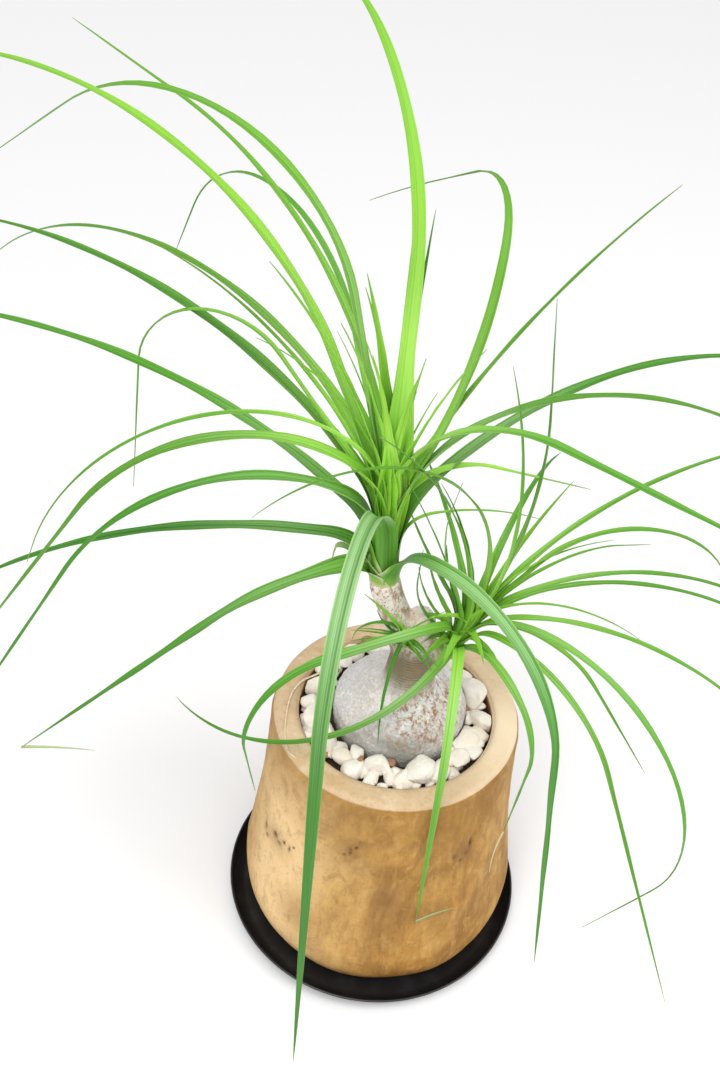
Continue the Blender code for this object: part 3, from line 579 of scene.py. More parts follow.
def wood_material():
    """Pale turned wood: cloudy tan and brown figure, upright brushed fibres, a lighter worn rim, with painted
    shade below the rim, in the pits and inside the cavity, a leaf's painted shadow among the stains, and
    painted light on the wall's left front.
    """
    s = Shader("turned_wood")
    where = s.place()
    upright = s.place((1, 1, 0.16))
    fibres = s.noise(upright, 420, 4, 0.7, 0.3)
    brushed = s.noise(upright, 130, 4, 0.6, 0.5)
    figure = s.noise(s.place((1, 1, 0.45)), 17, 4, 0.6, 2.2)
    clouds = s.noise(where, 12, 4, 0.55, 1.4)
    big = s.noise(where, 6, 2, 0.5, 0.8)
    mottle = s.noise(s.place((1, 1, 0.7)), 95, 6, 0.72, 0.6)
    specks = s.noise(where, 420, 3, 0.7)
    height = s.height(where)
    top, pit_shade, stain_and_shadow, inside, sap_and_painted_light = map(s.attribute, POT_LAYERS)
    rim = s.coats(
        (0.7, 0.53, 0.345),
        (clouds, 0.38, 0.66, (0.58, 0.41, 0.235)),
        (figure, 0.5, 0.68, 0.55, (0.5, 0.32, 0.14)),
        (mottle, 0.48, 0.66, 0.38, (0.47, 0.29, 0.13)),
        (mottle, 0.44, 0.3, 0.45, (0.86, 0.7, 0.47)),
        (specks, 0.56, 0.7, 0.35, (0.36, 0.21, 0.09)),
        (s.times(sap_and_painted_light, 0.8), (0.9, 0.73, 0.52)))
    colour = s.coats(
        (0.53, 0.3, 0.074),
        (big, 0.36, 0.64, (0.39, 0.188, 0.036)),
        (height, 0.1, 0.012, 0.85, (0.385, 0.18, 0.03)),
        (clouds, 0.5, 0.66, 0.75, (0.29, 0.145, 0.036)),
        (clouds, 0.46, 0.3, 0.65, (0.62, 0.385, 0.125)),
        (figure, 0.52, 0.64, 0.62, (0.235, 0.105, 0.022)),
        (figure, 0.46, 0.34, 0.4, (0.66, 0.43, 0.15)),
        (brushed, 0.52, 0.7, 0.45, (0.25, 0.115, 0.028)),
        (brushed, 0.46, 0.28, 0.35, (0.64, 0.41, 0.145)),
        (fibres, 0.54, 0.76, 0.38, (0.68, 0.45, 0.17)),
        # Painted light: the wall's left front paler, where the light falls
        (s.times(sap_and_painted_light, 0.9), (0.8, 0.56, 0.28)),
        # Painted shade: the wall darker just below the rim
        (height, 0.14, 0.192, 0.62, (0.315, 0.158, 0.036)),
        (mottle, 0.5, 0.66, 0.42, (0.26, 0.12, 0.03)),
        (mottle, 0.46, 0.32, 0.45, (0.66, 0.42, 0.14)),
        (specks, 0.58, 0.7, 0.38, (0.2, 0.095, 0.028)),
        (top, rim),
        # Painted shade down the inside of the cavity, and darker end grain along the rim's inner edge
        (inside, (0.24, 0.135, 0.06)),
        # Stains, with a leaf's painted shadow among them
        (stain_and_shadow, (0.215, 0.105, 0.035)),
        # Painted shade in the pits, near black
        (pit_shade, (0.03, 0.018, 0.01)))
    relief = s.relief((fibres, 0.45, 0.0007), (brushed, 0.35, 0.0012), (mottle, 0.15, -0.0012))
    return s.finish(colour, s.ramp(clouds, 0.3, 0.7, 0.55, 0.72), relief, 0.16)


def saucer_material():
    s = Shader("black_saucer")
    dust = s.noise(s.place(), 60, 4, 0.6)
    fine = s.noise(s.place(), 900, 2)
    colour = s.coats((0.009, 0.009, 0.01), (dust, 0.5, 0.8, (0.02, 0.02, 0.023)))
    return s.finish(colour, s.ramp(dust, 0.3, 0.7, 0.28, 0.42), s.relief((fine, 0.08, 0.0003)), 0.55)


def soil_material():
    s = Shader("dark_soil")
    lumps = s.noise(s.place(), 260, 5, 0.7)
    bits = s.cells(s.place(), 420)
    colour = s.coats((0.03, 0.02, 0.014), (lumps, 0.35, 0.7, (0.12, 0.08, 0.05)),
                     (bits, 0.18, 0.05, 0.5, (0.2, 0.15, 0.1)))
    return s.finish(colour, 0.95, s.relief((lumps, 0.9, 0.002)))


def pumice_material():
    s = Shader("pumice")
    where = s.place()
    tone = s.attribute("tone")
    grain = s.noise(where, 700, 4, 0.7)
    patches = s.noise(where, 130, 3, 0.6)
    spots = s.ramp(s.cells(where, 620), 0.2, 0.08)
    colour = s.coats(
        (0.94, 0.89, 0.82),
        (patches, 0.35, 0.7, (0.86, 0.79, 0.7)),
        (tone, 0.5, 1, 0.6, (0.88, 0.77, 0.64)),
        (tone, 0.3, 0, 0.25, (0.78, 0.77, 0.72)),
        (s.times(spots, s.ramp(patches, 0.5, 0.65)), (0.42, 0.39, 0.34)))
    return s.finish(colour, 0.92, s.relief((grain, 0.6, 0.0011), (spots, 0.3, -0.0008)), 0.25)


def chip_material():
    s = Shader("brown_bits")
    lumps = s.noise(s.place(), 300, 3, 0.6)
    colour = s.coats((0.3, 0.145, 0.085), (lumps, 0.35, 0.7, (0.46, 0.26, 0.16)))
    return s.finish(colour, 0.9, s.relief((lumps, 0.6, 0.001)))


def straw_material():
    s = Shader("straw")
    streaks = s.noise(s.place((1, 1, 0.3)), 500, 3, 0.6)
    colour = s.coats((0.8, 0.7, 0.5), (streaks, 0.4, 0.7, (0.62, 0.5, 0.32)))
    return s.finish(colour, 0.75, s.relief((streaks, 0.3, 0.0003)))


def bark_material():
    """Silver-grey plates on the dome, rings on the neck, and pinkish peeling bark on the stems."""
    s = Shader("grey_bark")
    where = s.place()
    wander = s.math("ADD", s.height(where), s.times(s.noise(where, 60), 0.01))
    swirl = s.add("TexNoise", Vector=where, Scale=240).outputs["Color"]
    swirl = s.add("VectorMath", {"operation": "SCALE"}, _0=swirl, Scale=0.0022).outputs[0]
    bent = s.add("VectorMath", {"operation": "ADD"}, _0=s.place((1, 1, 1.5)), _1=swirl).outputs[0]
    plates = s.cells(bent, 400, "DISTANCE_TO_EDGE")
    cracks = s.times(s.ramp(plates, 0.085, 0.01), s.ramp(s.noise(where, 75, 3, 0.6), 0.42, 0.6))
    fine = s.noise(where, 520, 4, 0.65)
    patches = s.noise(where, 42, 3, 0.6)
    blush = s.noise(where, 26, 2)
    flecks = s.noise(s.place((1, 1, 0.5)), 300, 4, 0.75)
    folds = s.noise(s.place((1, 1, 1.2)), 300, 4, 0.66, 0.35)
    creases = s.math("ABSOLUTE", s.math("SUBTRACT", folds, 0.5))
    flakes = s.noise(s.place((1, 1, 0.45)), 230, 4, 0.65, 0.5)
    scurf, rings, bulb, painted_low_shade, scars, cut = map(s.attribute, BARK_LAYERS)
    neck = s.coats(
        (0.27, 0.24, 0.18),
        (fine, 0.35, 0.7, (0.48, 0.44, 0.35)),
        (wander, 0.245, 0.256, 0.85, (0.215, 0.195, 0.115)),
        (s.times(rings, 0.7), (0.13, 0.095, 0.06)),
        (s.times(scurf, s.ramp(flecks, 0.46, 0.58, 0, 0.7)), (0.34, 0.19, 0.11)))
    peel = s.coats(
        (0.48, 0.33, 0.24),
        (flakes, 0.42, 0.52, (0.86, 0.77, 0.7)),
        (fine, 0.55, 0.64, 0.85, (0.24, 0.14, 0.09)),
        (s.times(scars, 0.15), (0.36, 0.24, 0.17)))
    stump = s.coats(
        (0.74, 0.56, 0.47),
        (flakes, 0.4, 0.58, (0.9, 0.78, 0.7)),
        (fine, 0.6, 0.7, 0.75, (0.3, 0.17, 0.11)))
    colour = s.coats(
        (0.96, 0.955, 0.945),
        (patches, 0.36, 0.64, (0.855, 0.845, 0.83)),
        (blush, 0.45, 0.66, 0.55, (0.88, 0.79, 0.71)),
        (fine, 0.5, 0.7, 0.6, (0.96, 0.95, 0.93)),
        # Painted shade low on the dome, just above the stones and at its lower front
        (painted_low_shade, (0.4, 0.405, 0.365)),
        (creases, 0.024, 0, 0.38, (0.37, 0.335, 0.31)),
        (s.times(cracks, 0.32), (0.33, 0.29, 0.26)),
        (s.times(scurf, s.ramp(flecks, 0.46, 0.61)), (0.43, 0.255, 0.16)),
        (wander, 0.234, 0.248, neck),
        (wander, 0.267, 0.281, peel),
        (cut, stump),
        (bulb, (0.36, 0.4, 0.13)))
    dome = s.ramp(wander, 0.24, 0.228)
    relief = s.relief(
        (s.times(dome, s.ramp(plates, 0, 0.25)), 0.15, 0.0005),
        (s.times(dome, s.ramp(creases, 0, 0.1)), 0.62, 0.001),
        (fine, 0.35, 0.0006), (rings, 0.5, -0.0005), (scars, 0.3, -0.0008))
    return s.finish(colour, s.ramp(fine, 0.3, 0.7, 0.68, 0.9), relief, 0.2)


# Saucer

def make_saucer():
    """A thin black dish with a rolled lip."""
    profile = [
        (0.002, 0), (SAUCER_FOOT_RADIUS - 0.002, 0), (SAUCER_FOOT_RADIUS + 0.0015, 0.0004),
        (SAUCER_FOOT_RADIUS + 0.004, 0.0016), (0.108, 0.0066),
        (SAUCER_RADIUS - 0.0008, SAUCER_HEIGHT - 0.0016),
    ]
    for k in range(9):
        turn = -0.3 + k * (pi + 0.2) / 8
        profile.append((SAUCER_RADIUS + SAUCER_LIP * (cos(turn) - 1),
                        SAUCER_HEIGHT + SAUCER_LIP * (sin(turn) - 1)))
    profile += [
        (0.1078, SAUCER_HEIGHT - 0.0036), (0.1045, 0.0048), (SAUCER_FOOT_RADIUS + 0.0005, 0.0027),
        (SAUCER_FOOT_RADIUS - 0.002, SAUCER_FLOOR), (0.002, SAUCER_FLOOR),
    ]
    bm = bmesh.new()
    add_turned(bm, profile, SAUCER_SIDES, lambda *point: SAUCER_CENTRE + polar(*point))
    make_object("saucer_dish", bm, saucer_material(), "saucer", 50)


# Pot

def wall_radius(height):
    if height <= BELLY_HEIGHT:
        along = (height - POT_BASE) / (BELLY_HEIGHT - POT_BASE)
        return FOOT_RADIUS + (BELLY_RADIUS - FOOT_RADIUS) * (1 - (1 - along) ** FOOT_ROUNDING)
    along = (height - BELLY_HEIGHT) / (POT_HEIGHT - BELLY_HEIGHT)
    neck = RIM_RADIUS + WALL_SWELL
    return neck + (BELLY_RADIUS - neck) * (1 - along) ** WALL_FLARE


def strongest(spots, turn, height, reach=99):
    """The strongest of the spots at a point of the wall, among those within reach times their tallness."""
    most = 0
    for spot in spots:
        if abs(height - spot.level) < reach * spot.tall:
            apart = (turn - radians(spot.bearing) + pi) % (2 * pi) - pi
            off = (apart * WALL_MEAN_RADIUS / spot.width) ** 2 + ((height - spot.level) / spot.tall) ** 2
            most = max(most, spot.much * exp(-1.6 * off))
    return most


def pot_shape(turn, radius, height):
    """Hand-finished, so slightly uneven, with faint tool marks and the pits. The cavity stays true."""
    place = polar(turn, radius, height)
    if radius < CAVITY_RADIUS + 0.002:
        return place
    uneven = 0.0009 * noise(polar(turn, 2.2, height * 14))
    if height > POT_HEIGHT - 0.0075:
        uneven *= 0.5
    tool = 0.00022 * noise(polar(turn, 9, height * 90))
    place += polar(turn) * (uneven + tool - strongest(PITS, turn, height, 3))
    if height > POT_HEIGHT - 0.004:
        place.z += 0.0005 * noise(polar(turn) * 2.4)
    return place


def make_pot():
    """The turned wooden pot, with an eased rim, and with masks for the wood's material."""
    profile = [(0.002, POT_BASE)]
    for i in range(WALL_ROWS + 1):
        height = POT_BASE + (WALL_TOP - POT_BASE) * i / WALL_ROWS
        profile.append((wall_radius(height), height))
    profile += [(RIM_RADIUS + 0.0004 - inward, POT_HEIGHT - depth) for inward, depth in RIM_SECTION]
    profile += [(CAVITY_RADIUS + 0.0002, POT_HEIGHT - 0.0045 - CAVITY_STEP * k) for k in range(9)]
    profile.append((0.002, profile[-1][1]))
    bm = bmesh.new()
    add_turned(bm, profile, POT_SIDES, pot_shape)
    top, pit_shade, stain_and_shadow, inside, sap_and_painted_light = float_layers(bm, POT_LAYERS)
    whole_pits = [spot._replace(much=1) for spot in PITS]
    for vert in bm.verts:
        at = vert.co
        turn = atan2(at.y, at.x)
        radius = at.xy.length
        vert[top] = step_up(at.z, POT_HEIGHT - 0.0036, POT_HEIGHT - 0.0027) if radius > 0.06 else 1
        # Painted shade down the inside of the cavity, and darker end grain along the rim's inner edge
        if radius < CAVITY_RADIUS + 0.001:
            vert[inside] = step_up(POT_HEIGHT - at.z, 0.002, 0.006)
        elif vert[top] > 0.5:
            vert[inside] = 0.45 * (1 - step_up(radius, CAVITY_RADIUS + 0.001, CAVITY_RADIUS + 0.004))
        uneven = 1 + 0.6 * noise(at * 22)
        # Painted light on the wall's left front, and paler sapwood on the rim's right
        bearing, width = SAP_ON_RIM if vert[top] > 0.5 else PAINTED_LIGHT_ON_WALL
        vert[sap_and_painted_light] = uneven * exp(-((degrees(turn) - bearing) / width) ** 2)
        if at.z > 0.18 or radius < 0.08:
            continue
        # Painted shade in the pits, ragged at their edges
        ragged = 0.75 + 0.6 * noise(at * 420)
        vert[pit_shade] = min(1, 1.25 * ragged * strongest(whole_pits, turn, at.z))
        vert[stain_and_shadow] = strongest(STAINS_AND_LEAF_SHADOW, turn, at.z)
    make_object("pot_body", bm, wood_material(), "wooden_pot", 60)


# Soil, stones and bits

def grit_shape(turn, radius, height):
    place = polar(turn, radius)
    if height > SOIL_TOP:
        lift = 0.0012 * noise(place * 330) + 0.0007 * noise(place * 900)
        height += GRIT_RISE * max(0, place.y) + lift
    place.z = height
    return place


def make_grit():
    """The rough layer of soil that the stones are bedded in."""
    wide = FILL_RADIUS - GRIT_INSIDE
    top = [(GRIT_INSIDE + wide * i / GRIT_ROWS, GRIT_HEIGHT) for i in range(GRIT_ROWS + 1)]
    profile = [(GRIT_INSIDE, SOIL_TOP), *top, (FILL_RADIUS, SOIL_TOP)]
    bm = bmesh.new()
    add_turned(bm, profile, GRIT_SIDES, grit_shape, True)
    bmesh.ops.recalc_face_normals(bm, faces=bm.faces)
    material = soil_material()
    make_object("soil_top", bm, material, "soil", 0, True)
    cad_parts["soil"].data.materials.clear()
    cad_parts["soil"].data.materials.append(material)


def caudex_at(height):
    """Centre and radius of the caudex at a height."""
    low, high = NECK_SHIFT_HEIGHTS
    centre = CAUDEX_CENTRE + NECK_SHIFT * min(1, max(0, (height - low) / (high - low)))
    for (low, low_radius), (high, high_radius) in zip(CAUDEX_RINGS, CAUDEX_RINGS[1:]):
        if height < high:
            break
    along = min(1, max(0, (height - low) / (high - low)))
    return centre, low_radius + (high_radius - low_radius) * along


def span(verts):
    """The size of the box round the vertices."""
    return Vector([max(v.co[i] for v in verts) - min(v.co[i] for v in verts) for i in range(3)])


def rounded_stone(bm, rng, stone, layer, tone, levels=2, fuller=1):
    """A stone as in the solids, but with worn edges and rough faces, clear of the caudex and the wall."""
    raw = bmesh.new()
    shape = Vector((rng.uniform(*STONE_STRETCH), rng.uniform(*STONE_STRETCH), rng.uniform(*STONE_FLATNESS)))
    for _ in range(STONE_CORNERS):
        way = Vector((rng.gauss(0, 1), rng.gauss(0, 1), rng.gauss(0, 1))).normalized()
        raw.verts.new(way * stone.size * rng.uniform(*STONE_LUMPS) * shape)
    hull = bmesh.ops.convex_hull(raw, input=raw.verts)
    spare = {v for v in hull["geom_interior"] + hull["geom_unused"] if isinstance(v, bmesh.types.BMVert)}
    bmesh.ops.delete(raw, geom=list(spare), context="VERTS")
    full = span(raw.verts)
    turn = Matrix.Rotation(rng.uniform(0, 2 * pi), 3, "Z")
    bmesh.ops.bevel(raw, geom=raw.edges[:] + raw.verts[:], offset=stone.size * STONE_BEVEL, segments=1,
                    affect="EDGES", clamp_overlap=True)
    fine = modified(raw, "SUBSURF", levels=levels)
    at = polar(radians(stone.bearing)) * stone.reach
    at.z = stone.height
    start = len(bm.verts)
    bm.from_mesh(fine)
    bpy.data.meshes.remove(fine)
    bm.verts.ensure_lookup_table()
    fresh_and_glow = bm.verts[start:]
    shrunk = span(fresh_and_glow)
    grow = Vector([full[i] / shrunk[i] for i in range(3)]) * fuller
    for vert in fresh_and_glow:
        own = vert.co * grow
        ball = 1 / (Vector([own[i] / full[i] for i in range(3)]).length * 2)
        own = own * (1 + STONE_ROUNDING * (ball * fuller - 1))
        rough = 0.045 * noise(own * 230 + at * 900) + 0.03 * noise(own * 600 + at * 500)
        pore = max(0, noise(own * 900 + at * 300) - 0.32)
        place = turn @ (own * (1 + rough - 0.14 * pore)) + at
        if place.xy.length > FILL_RADIUS:
            place.xy = place.xy.normalized() * FILL_RADIUS
        centre, radius = caudex_at(place.z)
        away = (place - centre).xy
        if away.length < radius + STONE_CLEARANCE:
            place.xy = centre.xy + away.normalized() * (radius + STONE_CLEARANCE)
        vert.co = place
        vert[layer] = tone


def make_stones():
    """The stones of the solids, then small ones all round, middling ones in the gaps, and the brown bits."""
    rng = random.Random(STONE_SEED)
    tint = random.Random(SEED)
    bm = bmesh.new()
    layer, = float_layers(bm, ["tone"])
    for stone in STONES:
        rounded_stone(bm, rng, stone, layer, tint.random(), 3 if stone.size > BIG_STONE else 2, STONE_FULLER)
    for k in range(SMALL_STONES):
        bearing = (k + tint.random() * 0.8) * 360 / SMALL_STONES
        small = Stone(bearing, tint.uniform(0.049, 0.064), tint.uniform(0.003, 0.005),
                      tint.uniform(0.19, 0.1935))
        rounded_stone(bm, tint, small, layer, tint.random(), 1)
    for stone in FILL_STONES:
        rounded_stone(bm, tint, stone, layer, tint.random())
    make_object("pumice_dressing", bm, pumice_material(), "pumice_stones")
    bm = bmesh.new()
    layer, = float_layers(bm, ["tone"])
    for chip in CHIPS:
        rounded_stone(bm, tint, chip, layer, 0.5)
    make_object("brown_bits", bm, chip_material(), "pumice_stones", 40, True)


# Caudex and stems

def make_caudex():
    """The solid's own form, made finer, with plates, rings and peeling bark in relief."""
    bm = bmesh.new()
    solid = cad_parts["caudex_and_stems"].data.copy()
    bm.from_mesh(modified(solid, "REMESH", mode="VOXEL", voxel_size=BARK_VOXEL))
    for _ in range(BARK_SMOOTHING):
        bmesh.ops.smooth_vert(bm, verts=bm.verts, factor=0.5, use_axis_x=True, use_axis_y=True,
                              use_axis_z=True)
    bm.normal_update()
    scurf, rings, bulb, painted_low_shade, scars, cut = float_layers(bm, BARK_LAYERS)
    moves = []
    for vert in bm.verts:
        at = vert.co
        # Cracks between the dome's plates
        bent = Vector((at.x, at.y, at.z * 1.5)) + noise_vector(at * 240) * 0.0006
        near, _ = voronoi(bent * 260)
        dome = 1 - step_up(at.z, 0.226, 0.234)
        crack = min(1, (near[1] - near[0]) / 0.3)
        ragged = 0.0006 * noise(at * 55) + 0.0004 * noise(at * 160) + 0.00042 * noise(at * 340)
        lift = dome * (0.00022 * crack - 0.00015 + ragged)
        # Rings round the neck
        neck = step_up(at.z, 0.224, 0.23) * (1 - step_up(at.z, 0.272, 0.284))
        groove = max(0, -sin((at.z + 0.001 * noise(at * 70)) * 2 * pi / NECK_RING_STEP)) ** 2
        lift -= neck * 0.0003 * groove
        vert[rings] = neck * groove
        # Peeling bark and leaf scars on the stems
        above = step_up(at.z, 0.262, 0.272)
        lift += above * 0.0009 * noise(Vector((at.x * 110, at.y * 110, at.z * 45)))
        scar = max(0, sin((at.z + 0.0018 * noise(at * 45)) * 2 * pi / LEAF_SCAR_STEP)) ** 10
        vert[scars] = above * scar * step_up(noise(at * 90), -0.25, 0.15)
        moves.append(lift - vert[scars] * 0.0001)
        # Brown scurf at the dome's front right, and painted shade low on the dome just above the stones and at
        # its lower front
        patch = exp(-((at.x - 0.022) / 0.022) ** 2 - ((at.y + 0.02) / 0.024) ** 2
                    - ((at.z - 0.221) / 0.015) ** 2)
        vert[scurf] = min(1, 0.18 + 2.2 * patch + 0.5 * step_up(at.z, 0.24, 0.262))
        level = at.z + 0.007 * noise(at * 60)
        front = exp(-((at.x - 0.006) / 0.02) ** 2) if at.y < 0 else 0
        vert[painted_low_shade] = max(0.6 * (1 - step_up(level, 0.196, 0.208)), front * (1 - step_up(level, 0.209, 0.228)))
        # The cut stump, and the green end of the side stem
        vert[cut] = 1 - step_up((at - STUMP_PLACE).length + 0.0015 * noise(at * 200), 0.013, 0.0165)
        side = (at - SIDE_CROWN.foot).length
        vert[bulb] = (1 - step_up(side, 0.008, 0.011)) * step_up(at.x, 0.019, 0.022)
    for vert, lift in zip(bm.verts, moves):
        vert.co = vert.co + vert.normal * lift
    make_object("bark_and_stems", bm, bark_material(), "caudex_and_stems")


# Leaves

def leaf_line(leaf, stem, steps):
    """The leaf's centre line, the same as in the solids."""
    low, high = stem
    points = [low.lerp(high, leaf.seat)]
    for i in range(steps):
        along = (i + 0.5) / steps
        bent = min(1, max(0, (along - leaf.start) / (leaf.end - leaf.start)))
        slope = radians(leaf.rise + (leaf.hang - leaf.rise) * bent)
        heading = radians(leaf.heading + leaf.turn * along)
        points.append(points[-1] + polar(heading, cos(slope), sin(slope)) * leaf.length / steps)
    return points


class Blades:
    """Collects the leaves of one crown in a mesh with the layers that the leaf material reads."""

    def __init__(self, crown, leaves):
        self.bm = bmesh.new()
        self.order = sorted(range(len(leaves)), key=lambda i: leaves[i].seat)
        self.uv = self.bm.loops.layers.uv.new("blade")
        self.layers = dict(zip(BLADE_LAYERS, float_layers(self.bm, BLADE_LAYERS)))
        self.crown = crown
        self.stem = (crown.foot, crown.tip)
        self.count = 0

    def mark(self, vert, **values):
        for name, value in values.items():
            vert[self.layers[name]] = value

    def base_radius(self):
        """Radius of the next leaf's base at the crown's foot: the lower a leaf is seated, the further out."""
        return self.crown.radius * (1 - BASE_DEPTH * (1 - exp(-self.order.index(self.count) * BASE_STEP)))

    def base_course(self, leaf, line, first):
        """The base's centre line: up from the crown's foot, then out to the solid's line."""
        low, high = self.stem
        axis = (high - low).normalized()
        heading = polar(radians(leaf.heading))
        outward = (heading - axis * heading.dot(axis)).normalized()
        end = line[first]
        ahead = (line[first + 1] - line[first - 1]).normalized()
        foot = low - axis * BASE_DROP + outward * self.base_radius()
        gap = (end - foot).length
        dip = max(0, (line[0] - end).dot(axis))
        rise = foot + axis * (0.45 * gap + 0.5 * dip)
        lean = end - ahead * (0.4 * gap + 0.35 * dip)
        course = []
        for i in range(BASE_RINGS):
            v = i / BASE_RINGS
            u = 1 - v
            course.append(foot * u ** 3 + rise * (3 * v * u * u) + lean * (3 * v * v * u) + end * v ** 3)
        return course

    def add(self, leaf, rng, steps, based=True, dry=0):
        """One leaf: a base that clasps the growing point, and a channelled, finely pleated blade. Returns its
        tip's place."""
        line = leaf_line(leaf, self.stem, steps)
        pale = PALE_PART * (self.stem[1] - self.stem[0]).length
        sway, phase, tone = rng.uniform(-1, 1), rng.uniform(0, 2 * pi), rng.random()
        first = max(2, round(min(self.crown.reach, 0.35 * leaf.length) / leaf.length * steps)) if based else 0
        base = self.base_course(leaf, line, first) if based else []
        radius = self.base_radius() if based else 1
        points = base + line[first:steps] + [line[-2].lerp(line[-1], part) for part in (0.5, 0.8, 1)]
        places = [i / steps for i in range(first, steps)] + [1 - 0.5 / steps, 1 - 0.2 / steps]
        for i in reversed(range(len(base))):
            places.insert(0, places[0] - (points[i + 1] - points[i]).length / leaf.length)
        root = self.crown.flare * (0.5 + 0.6 * leaf.young) if based else 0
        narrowed = min(0.065 + 0.045 * leaf.young, (0.35 + 0.25 * leaf.young) * leaf.length)
        lively = 0.1 + 0.62 * self.crown.flare * step_up(leaf.seat, 0.5, 0.8)
        marks = SECTION + SECTION[::-1]
        rings = []
        for i, along in enumerate(places):
            inside = max(0, along)
            at = points[i]
            ahead = (points[i + 1] - points[max(0, i - 1)]).normalized()
            turn = radians(leaf.heading + leaf.turn * inside)
            across = Vector((-sin(turn), cos(turn), 0))
            across = (across - ahead * across.dot(ahead)).normalized()
            roll = sway * 16 * inside * sin(inside * 4 + phase)
            across = Matrix.Rotation(radians(roll), 3, ahead) @ across
            above = ahead.cross(across)
            # hug is 1 where the section is an arc round the stem, and 0 where it is a folded blade
            up = i / len(base) if i < len(base) else 1
            hug = 1 - step_up(up, 0.12, 1)
            clasp = max(0, 1 - (along - places[0]) * leaf.length / pale) if based else 0
            taper = (1 - inside) ** 0.7
            far = inside * leaf.length
            near = 1 - step_up(far, 0, narrowed)
            half = leaf.width * min(1, 0.92 + inside * 1.5) * (1 + root * near) * taper / 2
            half += max(0, BASE_CLASP * radius - half) * (1 - step_up(up, 0, 0.34))
            fold = radians(20 - 6 * inside + (3 + 5 * leaf.young) * (1 - step_up(far, 0, 0.08)))
            thick = self.crown.thickness * (1 - 0.5 * inside) * (1 - hug) + BASE_THICKNESS * hug
            bend = max(1, hug / radius)
            top, bottom = [], []
            for s in SECTION:
                ripple = 0.02 * cos(s * 3 * pi) * (1 - abs(s)) * half / 0.006
                lift = sin(fold) * abs(s) ** 1.3 + ripple * 0.5
                wave = 0.045 * sin(along * 34 + phase + s * 2) * abs(s) * leaf.width
                arc = half * s * bend
                beside = half * s * cos(fold) * (1 - hug) + sin(arc) / bend * hug
                raised = (half * lift + wave * taper) * (1 - hug) + (1 - cos(arc)) / bend * hug
                uneven = 0.0012 * clasp * clasp * sin(3 * s + phase)
                top.append(at + across * beside + above * raised + ahead * uneven)
                down = across * sin(arc) * hug - above * (1 - hug + cos(arc) * hug)
                bottom.append(top[-1] + down.normalized() * thick * (1 - 0.75 * s * s))
            ring = [self.bm.verts.new(p) for p in top + bottom[::-1]]
            # Yellower near the root: the young colour, and painted light that stands in for the light shining
            # through the crown's heart
            fresh_and_glow = (lively + 0.4 * leaf.young) * (1 - step_up(far, 0.02, 0.15))
            young = min(1, leaf.young * (1 - 0.5 * inside) + fresh_and_glow)
            # Painted sheen where the leaf rises and arches: pale stripes in place of the light's sheen
            bloom = leaf.bloom * (1 - step_up(inside, 0.24, 0.52)) * step_up(far, 0.02, 0.06)
            for vert, s in zip(ring, marks):
                self.mark(vert, along=along, young=young, tone=tone, edge=abs(s), clasp=clasp, dry=dry,
                          bloom=bloom)
            rings.append((ring, along))
        offset = 0.37 * self.count
        wide = 0.5 * leaf.width / 0.012
        long = leaf.length / 0.3
        for (low_ring, a), (high_ring, b) in zip(rings, rings[1:]):
            for k, m in around(len(marks)):
                face = self.bm.faces.new((low_ring[k], low_ring[m], high_ring[m], high_ring[k]))
                for loop, s, t in zip(face.loops, (marks[k], marks[m], marks[m], marks[k]), (a, a, b, b)):
                    loop[self.uv].uv = (offset + s * wide, offset + t * long)
        self.bm.faces.new(reversed(rings[0][0]))
        tip = self.bm.verts.new(line[-1])
        self.mark(tip, along=1, tone=tone, dry=dry)
        last = rings[-1][0]
        for k, m in around(len(marks)):
            face = self.bm.faces.new((last[k], last[m], tip))
            for loop, s in zip(face.loops, (marks[k], marks[m], 0)):
                loop[self.uv].uv = (offset + s * wide, offset + long)
        self.count += 1
        return line[-1]

    def add_fold(self, tip, leaf, rng, dry):
        """The folded-over end of a leaf, which starts from its tip."""
        stem = self.stem
        self.stem = (tip, tip + Vector((0, 0, 0.001)))
        self.add(leaf, rng, 16, False, dry)
        self.stem = stem

    def add_core(self):
        """The slim growing point that the bases clasp."""
        low, high = self.stem
        core = self.crown.core
        line = spline([low.lerp(high, i / (len(core) - 1)) for i in range(len(core))], 4)
        radii = [point.x for point in spline([Vector((radius, 0, 0)) for radius in core], 4)]
        rings = add_tube(self.bm, line, radii, CORE_SIDES)
        for i, ring in enumerate(rings):
            for vert in ring:
                self.mark(vert, along=0.2, young=0.6, tone=0.5, clasp=0.6 * (1 - i / len(rings)))


def make_crown(rng, name, material_name, node, crown, leaves, steps, extra, extra_steps, folds=(), torn=()):
    """A whole crown. steps is how many parts a leaf's line has, and extra_steps that of an extra leaf."""
    blades = Blades(crown, leaves + extra)
    tips = [blades.add(leaf, rng, steps) for leaf in leaves]
    for leaf in extra:
        blades.add(leaf, rng, extra_steps)
    for number, leaf, dry in folds:
        blades.add_fold(tips[number], leaf, rng, dry)
    for leaf in torn:
        blades.add(leaf, random.Random(SEED + 1), 30, False, 0.35)
    blades.add_core()
    bmesh.ops.recalc_face_normals(blades.bm, faces=blades.bm.faces)
    make_object(name, blades.bm, leaf_material(material_name), node, 70)


def make_crowns():
    rng = random.Random(SEED)
    make_crown(rng, "main_crown", "main_leaf_green", "main_crown_leaves", MAIN_CROWN, MAIN_LEAVES, 46,
               MAIN_EXTRA, 24, MAIN_FOLDS, [TORN_LEAF])
    make_crown(rng, "side_crown", "side_leaf_green", "side_crown_leaves", SIDE_CROWN, SIDE_LEAVES, 40,
               SIDE_EXTRA, 20, SIDE_FOLDS)
    make_crown(rng, "small_shoots", "shoot_green", "small_shoot_leaves", SHOOTS, SHOOT_LEAVES, 26,
               SHOOT_EXTRA, 16)


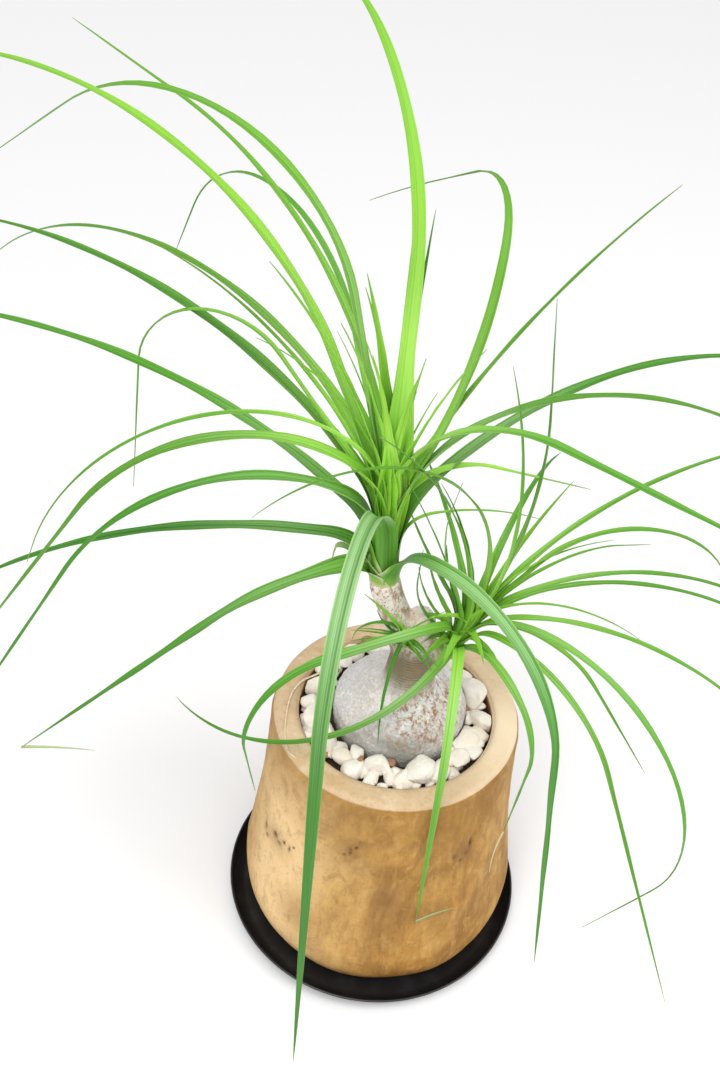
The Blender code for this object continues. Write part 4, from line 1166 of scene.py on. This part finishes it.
def make_strand():
    """One dry leaf, thin as straw, along the rim."""
    bm = bmesh.new()
    line = spline([Vector((x, y, STRAND_HEIGHT)) for x, y in STRAND_COURSE], 8)
    count = len(line) - 1
    radii = [STRAND_RADIUS * (1 - 0.55 * i / count) for i in range(count + 1)]
    for i, (at, radius) in enumerate(zip(line, radii)):
        at.z += radius - STRAND_RADIUS + 0.0002 * sin(i * 0.5)
    add_tube(bm, line, radii, 10)
    make_object("dry_leaf", bm, straw_material(), "dry_strand")


# Stage, light and camera

def make_stage():
    bm = bmesh.new()
    corners = ((-1, -1), (1, -1), (1, 1), (-1, 1))
    bm.faces.new([bm.verts.new(Vector((x, y, 0)) * FLOOR_REACH) for x, y in corners])
    floor = link("floor", bm)
    floor.data.materials.append(Shader("pale_floor").finish((0.84, 0.84, 0.84), 0.8))


def make_light(name, kind, way, power, colour, **settings):
    data = bpy.data.lights.new(name, kind)
    data.energy = power
    data.color = colour
    put_all(data, settings)
    item = link(name, data)
    item.rotation_euler = way.to_track_quat("-Z", "Y").to_euler()
    return item


def make_lights():
    make_light("sun", "SUN", Vector((0.05, 0.3, -1)), 1.2, (1, 0.985, 0.96), angle=radians(40))
    lamps = ("key", 15, 0.9, (-0.5, -1.35, 1.75)), ("fill", 10, 1, (1.25, -0.3, 1.4))
    for name, power, size, place in lamps:
        way = LIGHT_AIM - Vector(place)
        make_light(name, "AREA", way, power, (1, 0.99, 0.98), shape="DISK", size=size).location = place
    world = bpy.data.worlds.new("studio")
    world.use_nodes = True
    sky = world.node_tree.nodes["Background"]
    sky.inputs[0].default_value = (0.97, 0.97, 1, 1)
    sky.inputs[1].default_value = SKY_STRENGTH
    bpy.context.scene.world = world
    bpy.context.scene.view_settings.view_transform = "Standard"


def make_camera():
    pitch, yaw, roll = radians(CAMERA_PITCH), radians(CAMERA_YAW), radians(CAMERA_ROLL)
    ahead = Vector((sin(yaw) * cos(pitch), cos(yaw) * cos(pitch), -sin(pitch)))
    right = Vector((cos(yaw), -sin(yaw), 0))
    up = right.cross(ahead)
    right, up = right * cos(roll) + up * sin(roll), up * cos(roll) - right * sin(roll)
    data = bpy.data.cameras.new("camera")
    data.lens = CAMERA_LENS
    data.sensor_width = CAMERA_SENSOR
    item = link("camera", data)
    item.matrix_world = Matrix.Translation(CAMERA_PLACE) @ Matrix((right, up, -ahead)).transposed().to_4x4()
    bpy.context.scene.camera = item


make_camera()
make_lights()
make_stage()
make_saucer()
make_pot()
make_grit()
make_stones()
make_caudex()
make_crowns()
make_strand()
